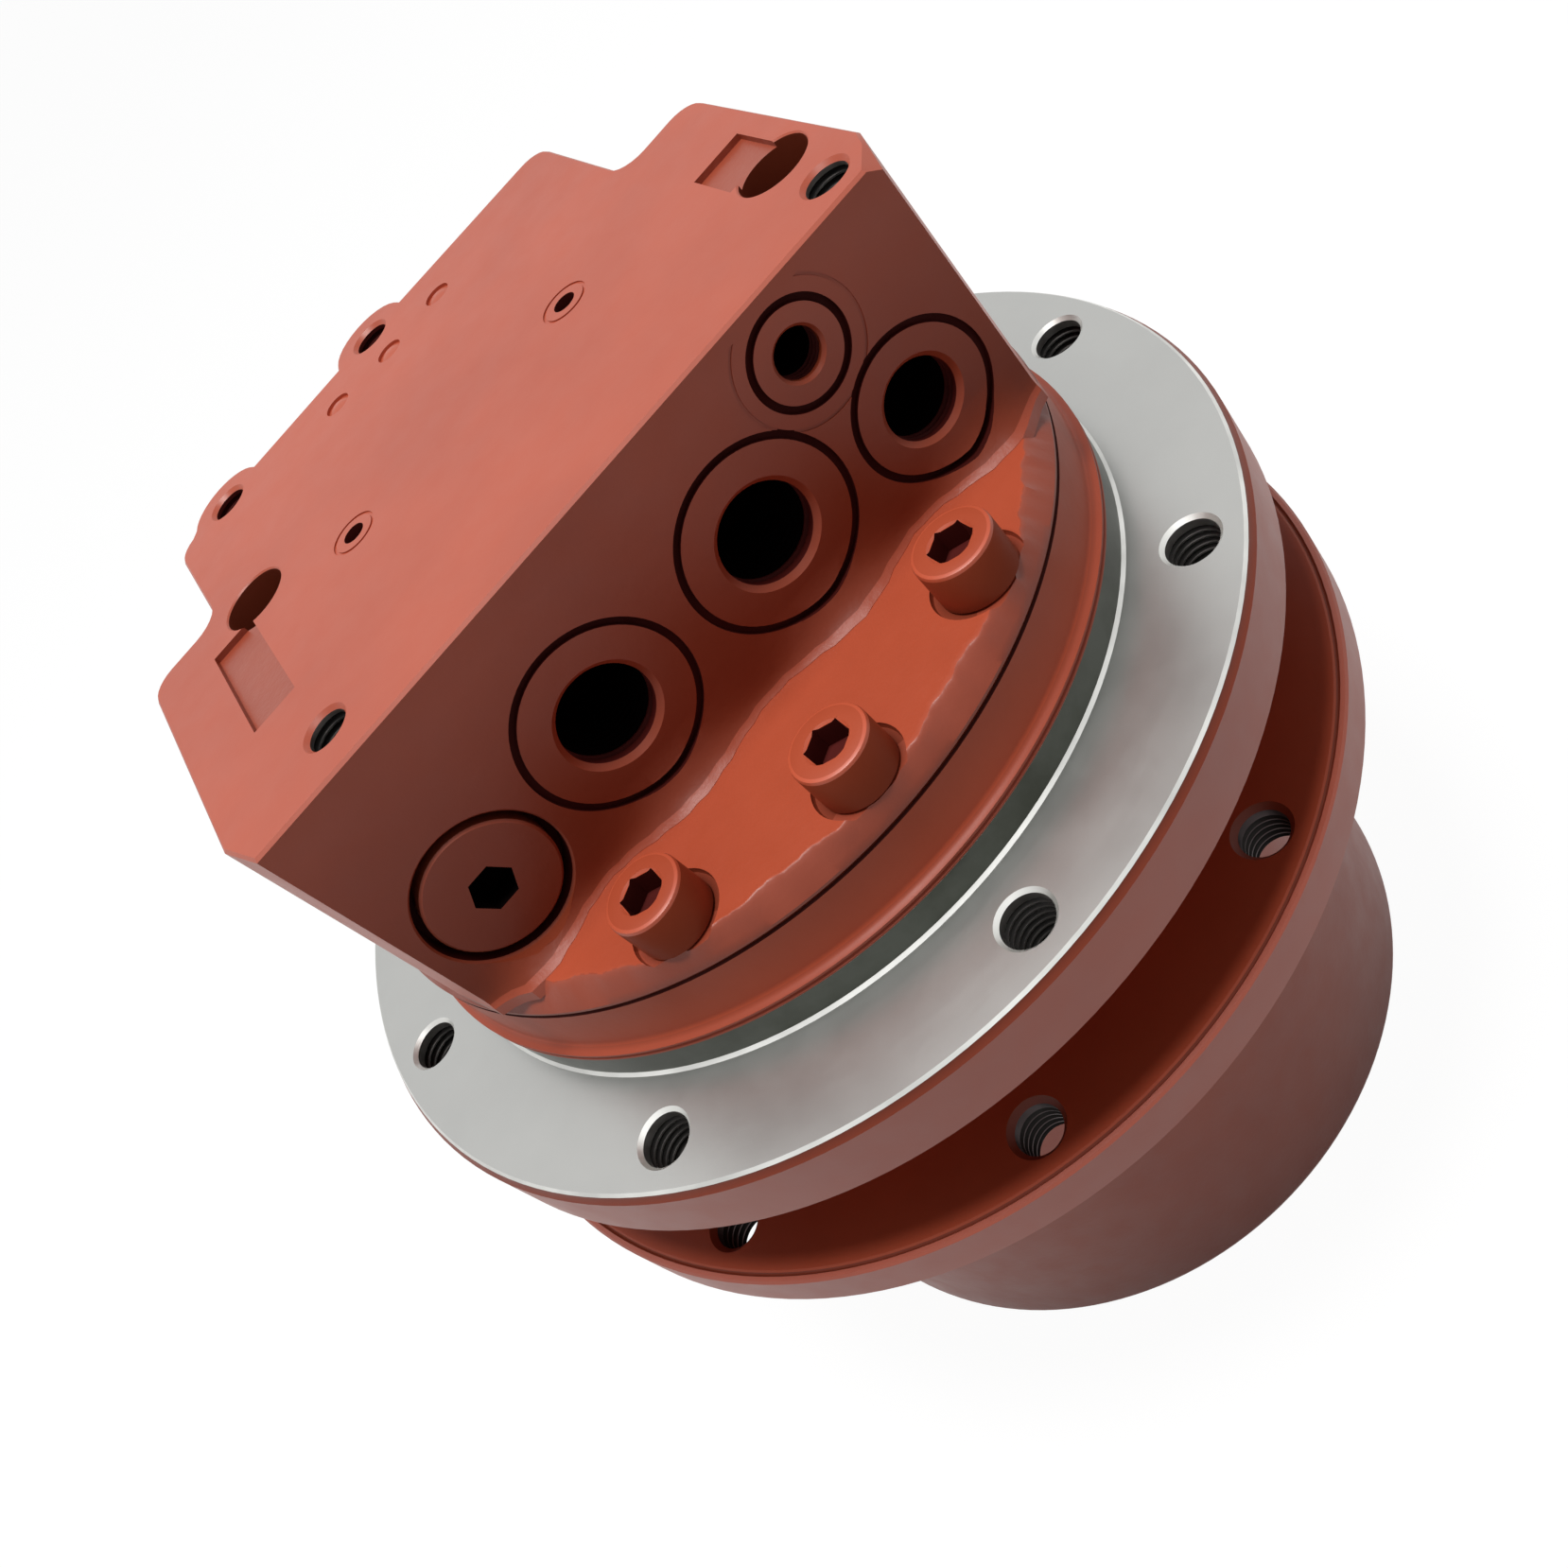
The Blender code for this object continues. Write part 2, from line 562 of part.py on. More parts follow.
def make_case():
    """Stationary motor case: frame flange, spigot, spindle nose and the bores of the motor."""
    edge, rim = 0.0006, 0.001
    fillet, fillet_reach = 0.0008, 0.001
    skirt_end = FRAME_FLANGE_BOTTOM - SEAL_SKIRT_DEPTH
    shoulder_r = SHAFT_SEAL_R + 0.002
    bolt_run_out = 0.003
    profile = [
        (CASE_R - edge, CASE_TOP), (CASE_R, CASE_TOP - edge), (CASE_R, SPIGOT_TOP + 2 * rim),
        (SPIGOT_R, SPIGOT_TOP + rim), (SPIGOT_R, FRAME_FACE + fillet), (SPIGOT_R + fillet_reach, FRAME_FACE),
        (FRAME_FLANGE_R - rim, FRAME_FACE), (FRAME_FLANGE_R, FRAME_FACE - rim),
        (FRAME_FLANGE_R, FRAME_FLANGE_BOTTOM + rim), (FRAME_FLANGE_R - rim, FRAME_FLANGE_BOTTOM),
        (SEAL_SKIRT_R, FRAME_FLANGE_BOTTOM), (SEAL_SKIRT_R, skirt_end),
        (SEAL_SKIRT_INNER_R, skirt_end), (SEAL_SKIRT_INNER_R, FRAME_FLANGE_BOTTOM),
        (SPINDLE_SHOULDER_R, FRAME_FLANGE_BOTTOM), (SPINDLE_SHOULDER_R, SPINDLE_SHOULDER),
        (SPINDLE_R, SPINDLE_SHOULDER), (SPINDLE_R, SPINDLE_END),
        (SEAL_SEAT_R + GAP, SPINDLE_END), (SEAL_SEAT_R + GAP, FRONT_BEARING_BOTTOM - BEARING_SHOULDER),
        (shoulder_r, FRONT_BEARING_BOTTOM - BEARING_SHOULDER), (shoulder_r, FRONT_BEARING_BOTTOM - GAP),
        (FRONT_BEARING_R + GAP, FRONT_BEARING_BOTTOM - GAP), (FRONT_BEARING_R + GAP, CHAMBER_FLOOR),
        (CHAMBER_R, CHAMBER_FLOOR), (CHAMBER_R, BRAKE_SHOULDER), (BRAKE_BORE_R, BRAKE_SHOULDER),
        (BRAKE_BORE_R, CASE_TOP),
    ]
    case = make_object("motor_case", turned(profile, FINE), paint())
    make_cradle_pads(case)
    taps = []
    for k in range(FRAME_BOLT_COUNT):
        x, y = polar(FRAME_BOLT_R, 2 * math.pi * k / FRAME_BOLT_COUNT)
        tap = tapped_cutter(FRAME_TAP_R, FRAME_TAP_MOUTH_R, FRAME_TAP_DEPTH, COARSE)
        taps.append(moved(tap, (x, y, FRAME_FACE)))
    for (x, y), screw in screw_places():
        tap = rod(screw["shank"] + GAP, LEDGE - screw["grip"] - bolt_run_out, CASE_TOP + OVERRUN, COARSE)
        taps.append(moved(tap, (x, y, 0)))
    boolean(case, joined(taps), "DIFFERENCE", "threads")
    holes = [
        moved(rod(PIN_R + GAP, SPINDLE_END - OVERRUN, SPINDLE_END + PIN_DEPTH, COARSE),
              (*polar(PLANET_2_CIRCLE_R, a), 0))
        for a in planet_angles()
    ]
    piston_bore = rod(SPEED_PISTON_R + GAP, SPEED_PISTON_BASE - GAP, CHAMBER_FLOOR + OVERRUN, COARSE)
    holes.append(moved(piston_bore, (0, SPEED_PISTON_Y, 0)))
    boolean(case, joined(holes), "DIFFERENCE", "pin_holes")


def make_cradle_pads(case):
    """Two rails on the chamber floor that the swash plate rocks in."""
    pads = []
    for side in (-1, 1):
        x = side * (CRADLE_INNER_X + CRADLE_WIDTH / 2)
        half = CRADLE_WIDTH / 2
        pads.append(box((x - half, -PAD_HALF_DEPTH, CHAMBER_FLOOR - OVERRUN),
                        (x + half, PAD_HALF_DEPTH, CHAMBER_FLOOR + CRADLE_PAD_HEIGHT)))
    boolean(case, joined(pads), "UNION", "cradle_pads")
    reach = CRADLE_INNER_X + CRADLE_WIDTH + OVERRUN
    groove = rod(CRADLE_R + GAP, -reach, reach, MEDIUM + 8, axis="X")
    boolean(case, moved(groove, (0, 0, SWASH_PIVOT_Z)), "DIFFERENCE", "cradle_groove")


def tapped_cutter(radius, mouth, depth, segments):
    """Hole going down from Z = 0 with a countersunk mouth."""
    lip = mouth - radius
    profile = [(0, -depth), (radius, -depth), (radius, -lip), (mouth, 0), (mouth, OVERRUN), (0, OVERRUN)]
    return turned(profile, segments)


def ledge_screw_places():
    return [polar(SCREW_CIRCLE_R, math.radians(a)) for a in SCREW_ANGLES]


def well_places():
    return [polar(radius, angle) for radius, angle in WELL_SCREWS]


def screw_places():
    """Each cap screw's place and sizes; the two in the wells are a size smaller."""
    places = [(place, LEDGE_SCREW) for place in ledge_screw_places()]
    return places + [(place, WELL_SCREW) for place in well_places()]


def block_outline():
    """Plan of the port block: broad at the ports, stepped in behind, two round bosses on the rear edge."""
    front, half, chamfer = BLOCK_FRONT_Y, BLOCK_HALF_WIDTH, BLOCK_CHAMFER_WIDTH
    corner = BLOCK_CORNER_R
    rear, rear_half = BLOCK_REAR_Y, BLOCK_REAR_HALF_WIDTH
    points = [(half - chamfer, front), (half, front + BLOCK_CHAMFER_DEPTH)]
    points += arc((half - corner, BLOCK_STEP_RIGHT_Y - corner), corner, 0, 90, 2)
    points += arc((rear_half + corner, BLOCK_STEP_RIGHT_Y + corner), corner, 270, 180, 2)
    points += arc((rear_half - corner, rear - corner), corner, 0, 90, 2)
    for x, y in REAR_BOSSES:
        points += boss_arc(x, y, rear)
    points += arc((-rear_half + corner, rear - corner), corner, 90, 180, 2)[1:]
    points += arc((-rear_half - corner, BLOCK_STEP_Y + corner), corner, 360, 270, 2)
    points += arc((-half + corner, BLOCK_STEP_Y - corner), corner, 90, 180, 2)
    points += [(-half, front + BLOCK_CHAMFER_DEPTH), (-half + chamfer, front)]
    return points


def boss_arc(x, y, rear):
    """The part of a round boss that stands out behind the rear edge."""
    inset = 8
    start = math.degrees(math.asin((rear - y) / REAR_BOSS_R)) + inset
    return arc((x, y), REAR_BOSS_R, start, 180 - start, 6)


def skirt_outline():
    """Foot of the front wall: it bulges under the ports and draws back round the screws."""
    count = 24
    least = 0.25
    half = BLOCK_HALF_WIDTH - SKIRT_INSET
    behind = BLOCK_FRONT_Y + 2 * OVERRUN
    points = [(half + OVERRUN, behind)]
    for k in range(count + 1):
        x = half * (1 - 2 * k / count)
        bulge = 0.5 - 0.5 * math.cos(math.pi * x / MAIN_PORT_X)
        points.append((x, BLOCK_FRONT_Y - SKIRT_STEP * (least + (1 - least) * bulge)))
    points.append((-half - OVERRUN, behind))
    return points[::-1]


def port_cutter(port, x, height):
    """Blind bore with a chamfered mouth, sunk from the front face."""
    lip = port["mouth"] - port["bore"]
    profile = [
        (0, -port["depth"]), (port["bore"], -port["depth"]), (port["bore"], -lip), (port["mouth"], 0),
        (port["mouth"], OVERRUN), (0, OVERRUN),
    ]
    return moved(turned(profile, MEDIUM - 4, "-Y"), (x, BLOCK_FRONT_Y, FRAME_FACE + height))


def ring_cutter(port, x, height):
    """Fine groove that borders a port's sealing face."""
    inner, outer = port["ring"] - RING_GROOVE_WIDTH / 2, port["ring"] + RING_GROOVE_WIDTH / 2
    profile = [(inner, -RING_GROOVE_DEPTH), (outer, -RING_GROOVE_DEPTH), (outer, OVERRUN), (inner, OVERRUN)]
    return moved(turned(profile, MEDIUM, "-Y"), (x, BLOCK_FRONT_Y, FRAME_FACE + height))


def port_places():
    return [
        (MAIN_PORT, -MAIN_PORT_X, PORT_Z), (MAIN_PORT, MAIN_PORT_X, PORT_Z),
        (DRAIN_PORT, SIDE_PORT_X, LOW_PORT_Z), (PILOT_PORT, PILOT_X, PILOT_Z),
    ]


def plug_cutter():
    """Seat and thread of the front plug, sunk from the front face."""
    thread_end = -PLUG_LENGTH - BEARING_SHOULDER
    profile = [
        (0, thread_end), (PLUG_THREAD_R + GAP, thread_end), (PLUG_THREAD_R + GAP, -PLUG_HEAD - GAP),
        (PLUG_RECESS_R, -PLUG_HEAD - GAP), (PLUG_RECESS_R, OVERRUN), (0, OVERRUN),
    ]
    return moved(turned(profile, MEDIUM, "-Y"), plug_place())


def plug_place():
    return (-SIDE_PORT_X, BLOCK_FRONT_Y, FRAME_FACE + LOW_PORT_Z)


def block_bores():
    """Ports, plug seat, threads and orifices of the top, and the seat of the shaft's rear bearing."""
    bearing_space = 0.001
    cuts = [port_cutter(*place) for place in port_places()]
    cuts.append(plug_cutter())
    for x, y in TOP_TAPS:
        tap = tapped_cutter(TOP_TAP_R, TOP_TAP_MOUTH_R, TOP_TAP_DEPTH, COARSE)
        cuts.append(moved(tap, (x, y, BLOCK_TOP)))
    for x, y in ORIFICES:
        cuts.append(moved(rod(ORIFICE_R, -ORIFICE_DEPTH, OVERRUN, TINY), (x, y, BLOCK_TOP)))
    cuts.append(rod(REAR_BEARING_R + GAP, BLOCK_BOTTOM - OVERRUN, SHAFT_TOP + bearing_space, MEDIUM))
    return joined(cuts)


def speed_bore():
    """Bore of the two-speed spool, which runs on from the front plug's thread."""
    spring_space = 0.004
    bore_end = BLOCK_FRONT_Y + PLUG_LENGTH + SPEED_SPOOL_LENGTH + SPEED_SPOOL_TRAVEL + spring_space
    bore = rod(SPEED_SPOOL_R + GAP, -bore_end, -BLOCK_FRONT_Y - PLUG_HEAD, MEDIUM - 4, axis="-Y")
    return moved(bore, (-SIDE_PORT_X, 0, FRAME_FACE + LOW_PORT_Z))


def screw_shanks():
    holes = []
    for (x, y), screw in screw_places():
        hole = rod(screw["shank"] + 2 * GAP, BLOCK_BOTTOM - OVERRUN, LEDGE + screw["height"], COARSE)
        holes.append(moved(hole, (x, y, 0)))
    return joined(holes)


def screw_spaces():
    """Room for the heads: roofed over on the ledges, open to the top in the two deep wells."""
    seat = LEDGE - SCREW_SEAT_DROP
    roof = BLOCK_TOP - SCREW_SPACE_ROOF
    spaces = [moved(rod(SCREW_SPACE_R, seat, roof, COARSE + 4), (x, y, 0)) for x, y in ledge_screw_places()]
    spaces += [moved(rod(WELL_R, seat, BLOCK_TOP + OVERRUN, COARSE + 4), (x, y, 0)) for x, y in well_places()]
    return joined(spaces)


def tag_recesses():
    """Two shallow rectangular recesses in the top."""
    return joined([
        box((x - w / 2, y - d / 2, BLOCK_TOP - TAG_DEPTH), (x + w / 2, y + d / 2, BLOCK_TOP + OVERRUN))
        for x, y, w, d in TAGS
    ])


def make_port_block():
    """Cast valve block: foot disc, body with the port face, and every hole that its pieces need."""
    edge, bend = 0.003, 0.0009
    disc = turned(
        [(0, BLOCK_BOTTOM), (CASE_R, BLOCK_BOTTOM), (CASE_R, LEDGE - edge),
         (CASE_R - bend, LEDGE - bend), (CASE_R - edge, LEDGE), (0, LEDGE)], FINE)
    block = make_object("port_block", disc, paint())
    boolean(block, prism(block_outline(), LEDGE - OVERRUN, BLOCK_TOP), "UNION", "body")
    boolean(block, prism(skirt_outline(), LEDGE - OVERRUN / 2, LEDGE + SKIRT_HEIGHT), "UNION", "skirt")
    boolean(block, block_bores(), "DIFFERENCE", "bores")
    boolean(block, joined([ring_cutter(*place) for place in port_places()]), "DIFFERENCE", "ring_grooves")
    boolean(block, spool_cutter(), "DIFFERENCE", "spool_bore")
    boolean(block, speed_bore(), "DIFFERENCE", "speed_bore")
    boolean(block, screw_shanks(), "DIFFERENCE", "screw_holes")
    boolean(block, screw_spaces(), "DIFFERENCE", "screw_wells")
    boolean(block, tag_recesses(), "DIFFERENCE", "tag_recesses")


def spool_cutter():
    """Cross bore of the counterbalance spool, wider at both ends for its caps."""
    play = 0.001
    end = BLOCK_HALF_WIDTH + OVERRUN
    seat = BLOCK_HALF_WIDTH - CAP_LENGTH - play
    profile = [
        (0, -end), (CAP_R + GAP, -end), (CAP_R + GAP, -seat), (SPOOL_R + GAP, -seat),
        (SPOOL_R + GAP, seat), (CAP_R + GAP, seat), (CAP_R + GAP, end), (0, end),
    ]
    return moved(turned(profile, MEDIUM, "X"), (0, SPOOL_Y, SPOOL_Z))


def make_block_screws():
    bevel = 0.0008
    seat = LEDGE - SCREW_SEAT_DROP + GAP
    for number, ((x, y), sizes) in enumerate(screw_places(), 1):
        shank, head, height, grip = sizes["shank"], sizes["head"], sizes["height"], sizes["grip"]
        profile = [
            (0, -grip), (shank, -grip), (shank, 0), (head, 0),
            (head, height - bevel), (head - bevel, height), (0, height),
        ]
        screw = make_object(f"block_screw_{number}", turned(profile, COARSE), paint(), location=(x, y, seat))
        socket = hex_socket(sizes["socket"], SCREW_SOCKET_DEPTH, height)
        helper = boolean(screw, socket, "DIFFERENCE", "socket")
        helper.location = screw.location


def make_front_plug():
    """Flush socket plug that closes the speed spool's bore."""
    profile = [
        (0, -PLUG_LENGTH), (PLUG_THREAD_R, -PLUG_LENGTH), (PLUG_THREAD_R, -PLUG_HEAD),
        (PLUG_HEAD_R, -PLUG_HEAD), (PLUG_HEAD_R, 0), (0, 0),
    ]
    plug = make_object("speed_spool_plug", turned(profile, MEDIUM, "-Y"), paint(), location=plug_place())
    helper = boolean(plug, hex_socket(SOCKET_R, SOCKET_DEPTH, 0, "-Y"), "DIFFERENCE", "socket")
    helper.location = plug_place()


def make_speed_spool():
    """Two-speed selector spool behind the front plug; it slides towards the plug."""
    play = 0.001
    start = BLOCK_FRONT_Y + PLUG_LENGTH + SPEED_SPOOL_TRAVEL + play
    frame = empty_at("speed_spool_slide", (-SIDE_PORT_X, start, FRAME_FACE + LOW_PORT_Z))
    neck, land = 0.0045, 0.012
    length = SPEED_SPOOL_LENGTH
    profile = [
        (0, -length), (SPEED_SPOOL_R, -length), (SPEED_SPOOL_R, land - length), (neck, land - length),
        (neck, -land), (SPEED_SPOOL_R, -land), (SPEED_SPOOL_R, 0), (0, 0),
    ]
    make_object("speed_spool", turned(profile, COARSE, "-Y"), steel(), parent=frame)


def make_counterbalance_spool():
    frame = empty_at("spool_slide", (0, SPOOL_Y, SPOOL_Z))
    half, neck, land = SPOOL_LENGTH / 2, 0.006, 0.011
    profile = [
        (0, -half), (SPOOL_R, -half), (SPOOL_R, -half + land), (neck, -half + land), (neck, -land),
        (SPOOL_R, -land), (SPOOL_R, land), (neck, land), (neck, half - land), (SPOOL_R, half - land),
        (SPOOL_R, half), (0, half),
    ]
    make_object("counterbalance_spool", turned(profile, COARSE + 4, "X"), steel(), parent=frame)
    for side, name in ((-1, "spool_cap_left"), (1, "spool_cap_right")):
        make_spool_cap(side, name)


def make_spool_cap(side, name):
    """Socket plug that closes one end of the spool's bore, a little below the block's side."""
    sunk = 0.0005
    inner = BLOCK_HALF_WIDTH - CAP_LENGTH
    outer = BLOCK_HALF_WIDTH - sunk
    place = (0, SPOOL_Y, SPOOL_Z)
    span = sorted((side * inner, side * outer))
    cap = make_object(name, rod(CAP_R, *span, MEDIUM, axis="X"), paint(), location=place)
    span = sorted((side * (outer - SOCKET_DEPTH), side * (outer + OVERRUN)))
    helper = boolean(cap, rod(SOCKET_R, *span, 6, axis="X"), "DIFFERENCE", "socket")
    helper.location = place


def make_valve_plate():
    """Flat distributor under the block with two kidney ports."""
    low, high = BARREL_TOP + GAP, CASE_TOP - GAP
    shaft_play = 0.001
    kidney_half, kidney_sweep = 0.0035, 65
    disc = ring(SHAFT_SPLINE_R + shaft_play, BARREL_R, low, high, MEDIUM)
    plate = make_object("valve_plate", disc, steel())
    inner, outer = PISTON_CIRCLE_R - kidney_half, PISTON_CIRCLE_R + kidney_half
    kidneys = []
    for side in (0, 180):
        start, end = side - kidney_sweep, side + kidney_sweep
        outline = arc((0, 0), outer, start, end, 6) + arc((0, 0), inner, end, start, 6)
        kidneys.append(prism(outline, low - OVERRUN, high + OVERRUN))
    boolean(plate, joined(kidneys), "DIFFERENCE", "kidney_ports")


def make_shaft_parts(frame):
    """Drive shaft, first-stage sun, and the pieces of the case and block that carry the shaft."""
    end_play = 0.0008
    bearing_play = 0.0005
    shaft_bottom = COVER_TOP + end_play
    seal_run = SPINDLE_END + 0.001
    step = CHAMBER_FLOOR + BEARING_SHOULDER
    profile = [
        (0, shaft_bottom), (SHAFT_GEAR_R, shaft_bottom), (SHAFT_GEAR_R, seal_run),
        (SHAFT_SEAL_R, seal_run), (SHAFT_SEAL_R, step), (SHAFT_SPLINE_R, step),
        (SHAFT_SPLINE_R, CASE_TOP), (SHAFT_TAIL_R, CASE_TOP), (SHAFT_TAIL_R, SHAFT_TOP), (0, SHAFT_TOP),
    ]
    make_object("drive_shaft", turned(profile, COARSE + 4), steel(), parent=frame)
    sun_top = PLANET_1_BOTTOM + PLANET_1_WIDTH
    phase = sun_phase(SUN_1_TEETH, PLANET_1_TEETH)
    sun = make_object(
        "sun_gear_1", spur_gear(SUN_1_TEETH, PLANET_1_BOTTOM, sun_top, phase), dark_steel(), parent=frame)
    bore = rod(SHAFT_GEAR_R + GAP, PLANET_1_BOTTOM - OVERRUN, sun_top + OVERRUN, COARSE + 4)
    boolean(sun, bore, "DIFFERENCE", "bore")
    seal_top = FRONT_BEARING_BOTTOM - BEARING_SHOULDER - bearing_play
    lip_low, rim_low = SPINDLE_END + 3 * bearing_play, SPINDLE_END + bearing_play
    seal = turned(
        [(SHAFT_SEAL_R + GAP, lip_low), (SEAL_SEAT_R, rim_low), (SEAL_SEAT_R, seal_top),
         (SHAFT_SEAL_R + GAP, seal_top)], MEDIUM)
    make_object("shaft_seal", seal, rubber())
    front_top = CHAMBER_FLOOR - bearing_play
    front = ring(SHAFT_SEAL_R + GAP, FRONT_BEARING_R, FRONT_BEARING_BOTTOM, front_top, MEDIUM)
    make_object("front_shaft_bearing", front, steel())
    rear_bottom, rear_top = BLOCK_BOTTOM + bearing_play, SHAFT_TOP - bearing_play
    rear = ring(SHAFT_TAIL_R + GAP, REAR_BEARING_R, rear_bottom, rear_top, MEDIUM)
    make_object("rear_shaft_bearing", rear, steel())


def make_barrel(frame):
    """Cylinder block with a ball nose that guides the shoe ring, and its pistons, drawn back."""
    reach, neck_fall = 0.006, 0.001
    bore = SHAFT_SPLINE_R + GAP
    profile = [(bore, SWASH_PIVOT_Z - reach)]
    for z in (-reach, -reach / 2, 0, reach / 2, reach):
        profile.append((math.sqrt(GUIDE_BALL_R ** 2 - z * z), SWASH_PIVOT_Z + z))
    profile += [
        (NOSE_R, SWASH_PIVOT_Z + reach + neck_fall), (NOSE_R, BARREL_BOTTOM), (BARREL_R, BARREL_BOTTOM),
        (BARREL_R, BARREL_TOP), (bore, BARREL_TOP),
    ]
    barrel = make_object("cylinder_barrel", turned(profile, MEDIUM + 4), steel(), parent=frame)
    angles = [2 * math.pi * k / PISTON_COUNT for k in range(PISTON_COUNT)]
    bore_shape = (PISTON_R + GAP, BARREL_BOTTOM - OVERRUN, PISTON_BORE_TOP, COARSE)
    bores = [moved(rod(*bore_shape), (*polar(PISTON_CIRCLE_R, a), 0)) for a in angles]
    boolean(barrel, joined(bores), "DIFFERENCE", "piston_bores")
    for number, a in enumerate(angles, 1):
        make_piston(number, (*polar(PISTON_CIRCLE_R, a), 0), frame)


def make_piston(number, place, frame):
    """Piston with a ball end, drawn back to the top of its stroke."""
    tip = BARREL_BOTTOM - PISTON_TIP_DROP
    top = PISTON_BORE_TOP - PISTON_TOP_PLAY
    ball, tip_r, neck = 0.0050, 0.0040, 0.0035
    tip_rise, ball_rise, neck_rise, shoulder_rise = 0.001, 0.004, 0.0085, 0.0102
    profile = [
        (0, tip), (tip_r, tip + tip_rise), (ball, tip + ball_rise), (neck, tip + neck_rise),
        (PISTON_R, tip + shoulder_rise), (PISTON_R, top), (0, top),
    ]
    make_object(f"piston_{number}", turned(profile, COARSE), steel(), location=place, parent=frame)


def make_swash(tilt_frame, shoe_frame):
    """Swash plate on its two rocker rails, and the shoe ring that runs on its face."""
    top, low = -SWASH_FACE, -SWASH_FACE - SWASH_THICKNESS
    swash = make_object(
        "swash_plate", ring(SWASH_HOLE_R, SWASH_R, low, top, MEDIUM + 4), dark_steel(), parent=tilt_frame)
    rails = joined([rocker_rail(side, top) for side in (-1, 1)])
    rail_helper = boolean(swash, rails, "UNION", "rocker_rails")
    rail_helper.parent = tilt_frame
    hollow = boolean(swash, rod(SWASH_HOLE_R, -CRADLE_R, 0, MEDIUM), "DIFFERENCE", "shaft_hole")
    hollow.parent = tilt_frame
    plate_half, shoe_top = 0.001, 0.003
    plate = make_object(
        "shoe_ring", ring(GUIDE_BALL_R + GAP, SHOE_PLATE_R, -plate_half, plate_half, MEDIUM), bronze(),
        parent=shoe_frame)
    shoes = []
    for k in range(PISTON_COUNT):
        x, y = polar(PISTON_CIRCLE_R, 2 * math.pi * k / PISTON_COUNT)
        shoes.append(moved(rod(SHOE_R, -SWASH_FACE + GAP, shoe_top, COARSE - 2), (x, y, 0)))
    shoe_helper = boolean(plate, joined(shoes), "UNION", "shoes")
    shoe_helper.parent = shoe_frame


def rocker_rail(side, plate_top):
    """Half-round rail under the swash plate, centred on the axis that it tilts about."""
    end_play = 0.0005
    sunk = 0.003
    near = side * (CRADLE_INNER_X + end_play)
    far = side * (CRADLE_INNER_X + CRADLE_WIDTH - 2 * end_play)
    outline = [
        (CRADLE_R * math.sin(math.radians(a)), -CRADLE_R * math.cos(math.radians(a)))
        for a in range(-56, 57, 14)
    ]
    outline = [(outline[0][0], plate_top - sunk)] + outline + [(outline[-1][0], plate_top - sunk)]
    rail = prism(outline, min(near, far), max(near, far))
    turn = Matrix(((0, 0, 1), (1, 0, 0), (0, 1, 0)))
    bmesh.ops.transform(rail, matrix=turn.to_4x4(), verts=rail.verts)
    bmesh.ops.recalc_face_normals(rail, faces=rail.faces)
    return rail


def make_speed_piston():
    """Small piston in the case floor that pushes the swash plate to the high-speed angle."""
    frame = empty_at("speed_piston_slide", (0, SPEED_PISTON_Y, SPEED_PISTON_BASE))
    length = SPEED_PISTON_TOP - SPEED_PISTON_BASE
    make_object("speed_piston", rod(SPEED_PISTON_R, 0, length, COARSE, chamfer=0.0006), steel(), parent=frame)


def make_brake(shaft_frame):
    """Parking brake: a disc that turns with the barrel, clamped to the case by a sprung piston."""
    piston_play, disc_play = 0.0025, 0.001
    level = BRAKE_SHOULDER + BRAKE_GAP
    outer, inner = BRAKE_BORE_R - GAP, BARREL_R + piston_play
    disc = ring(BARREL_R + GAP, outer - disc_play, level, level + BRAKE_DISC, MEDIUM + 4)
    make_object("brake_friction_disc", disc, bronze(), parent=shaft_frame)
    level += BRAKE_DISC + BRAKE_GAP
    piston_frame = empty_at("brake_slide", (0, 0, level))
    sleeve = ring(inner, outer, 0, BRAKE_PISTON_HEIGHT, MEDIUM)
    make_object("brake_piston", sleeve, steel(), parent=piston_frame)
    make_brake_spring(inner, outer, level + BRAKE_PISTON_HEIGHT + BRAKE_GAP)


def make_brake_spring(inner, outer, low):
    """Coned disc spring between the brake piston and the port block."""
    high = CASE_TOP - GAP
    wall, play, land = 0.0015, 0.001, 0.002
    profile = [
        (inner + play, low), (inner + play + land, low), (outer - play, high - wall),
        (outer - play, high), (outer - play - land, high), (inner + play, low + wall),
    ]
    make_object("brake_spring", turned(profile, MEDIUM), dark_steel())


def make_bearing(name, bottom, hub_frame, cage_frame):
    """Main bearing: inner race on the spindle, outer race in the hub, roller cage between them."""
    top = bottom + BEARING_WIDTH
    inner_low, inner_high = SPINDLE_R + GAP, SPINDLE_R + GAP + INNER_RACE_WALL
    outer_high = BEARING_SEAT_R - GAP
    outer_low = outer_high - OUTER_RACE_WALL
    inner_race = ring(inner_low, inner_high, bottom, top, FINE)
    outer_race = ring(outer_low, outer_high, bottom, top, FINE)
    make_object(f"{name}_inner_race", inner_race, steel())
    make_object(f"{name}_outer_race", outer_race, steel(), parent=hub_frame)
    cage_half, cage_inset, roller_inset = 0.0011, 0.0012, 0.0022
    middle = (inner_high + outer_low) / 2
    radius = (outer_low - inner_high) / 2 - 2 * GAP
    cage = make_object(
        f"{name}_rollers",
        ring(middle - cage_half, middle + cage_half, bottom + cage_inset, top - cage_inset, MEDIUM), steel(),
        parent=cage_frame,
    )
    rollers = []
    for k in range(ROLLER_COUNT):
        roller = rod(radius, bottom + roller_inset, top - roller_inset, TINY)
        rollers.append(moved(roller, (*polar(middle, 2 * math.pi * k / ROLLER_COUNT), 0)))
    boolean(cage, joined(rollers), "UNION", "rollers")


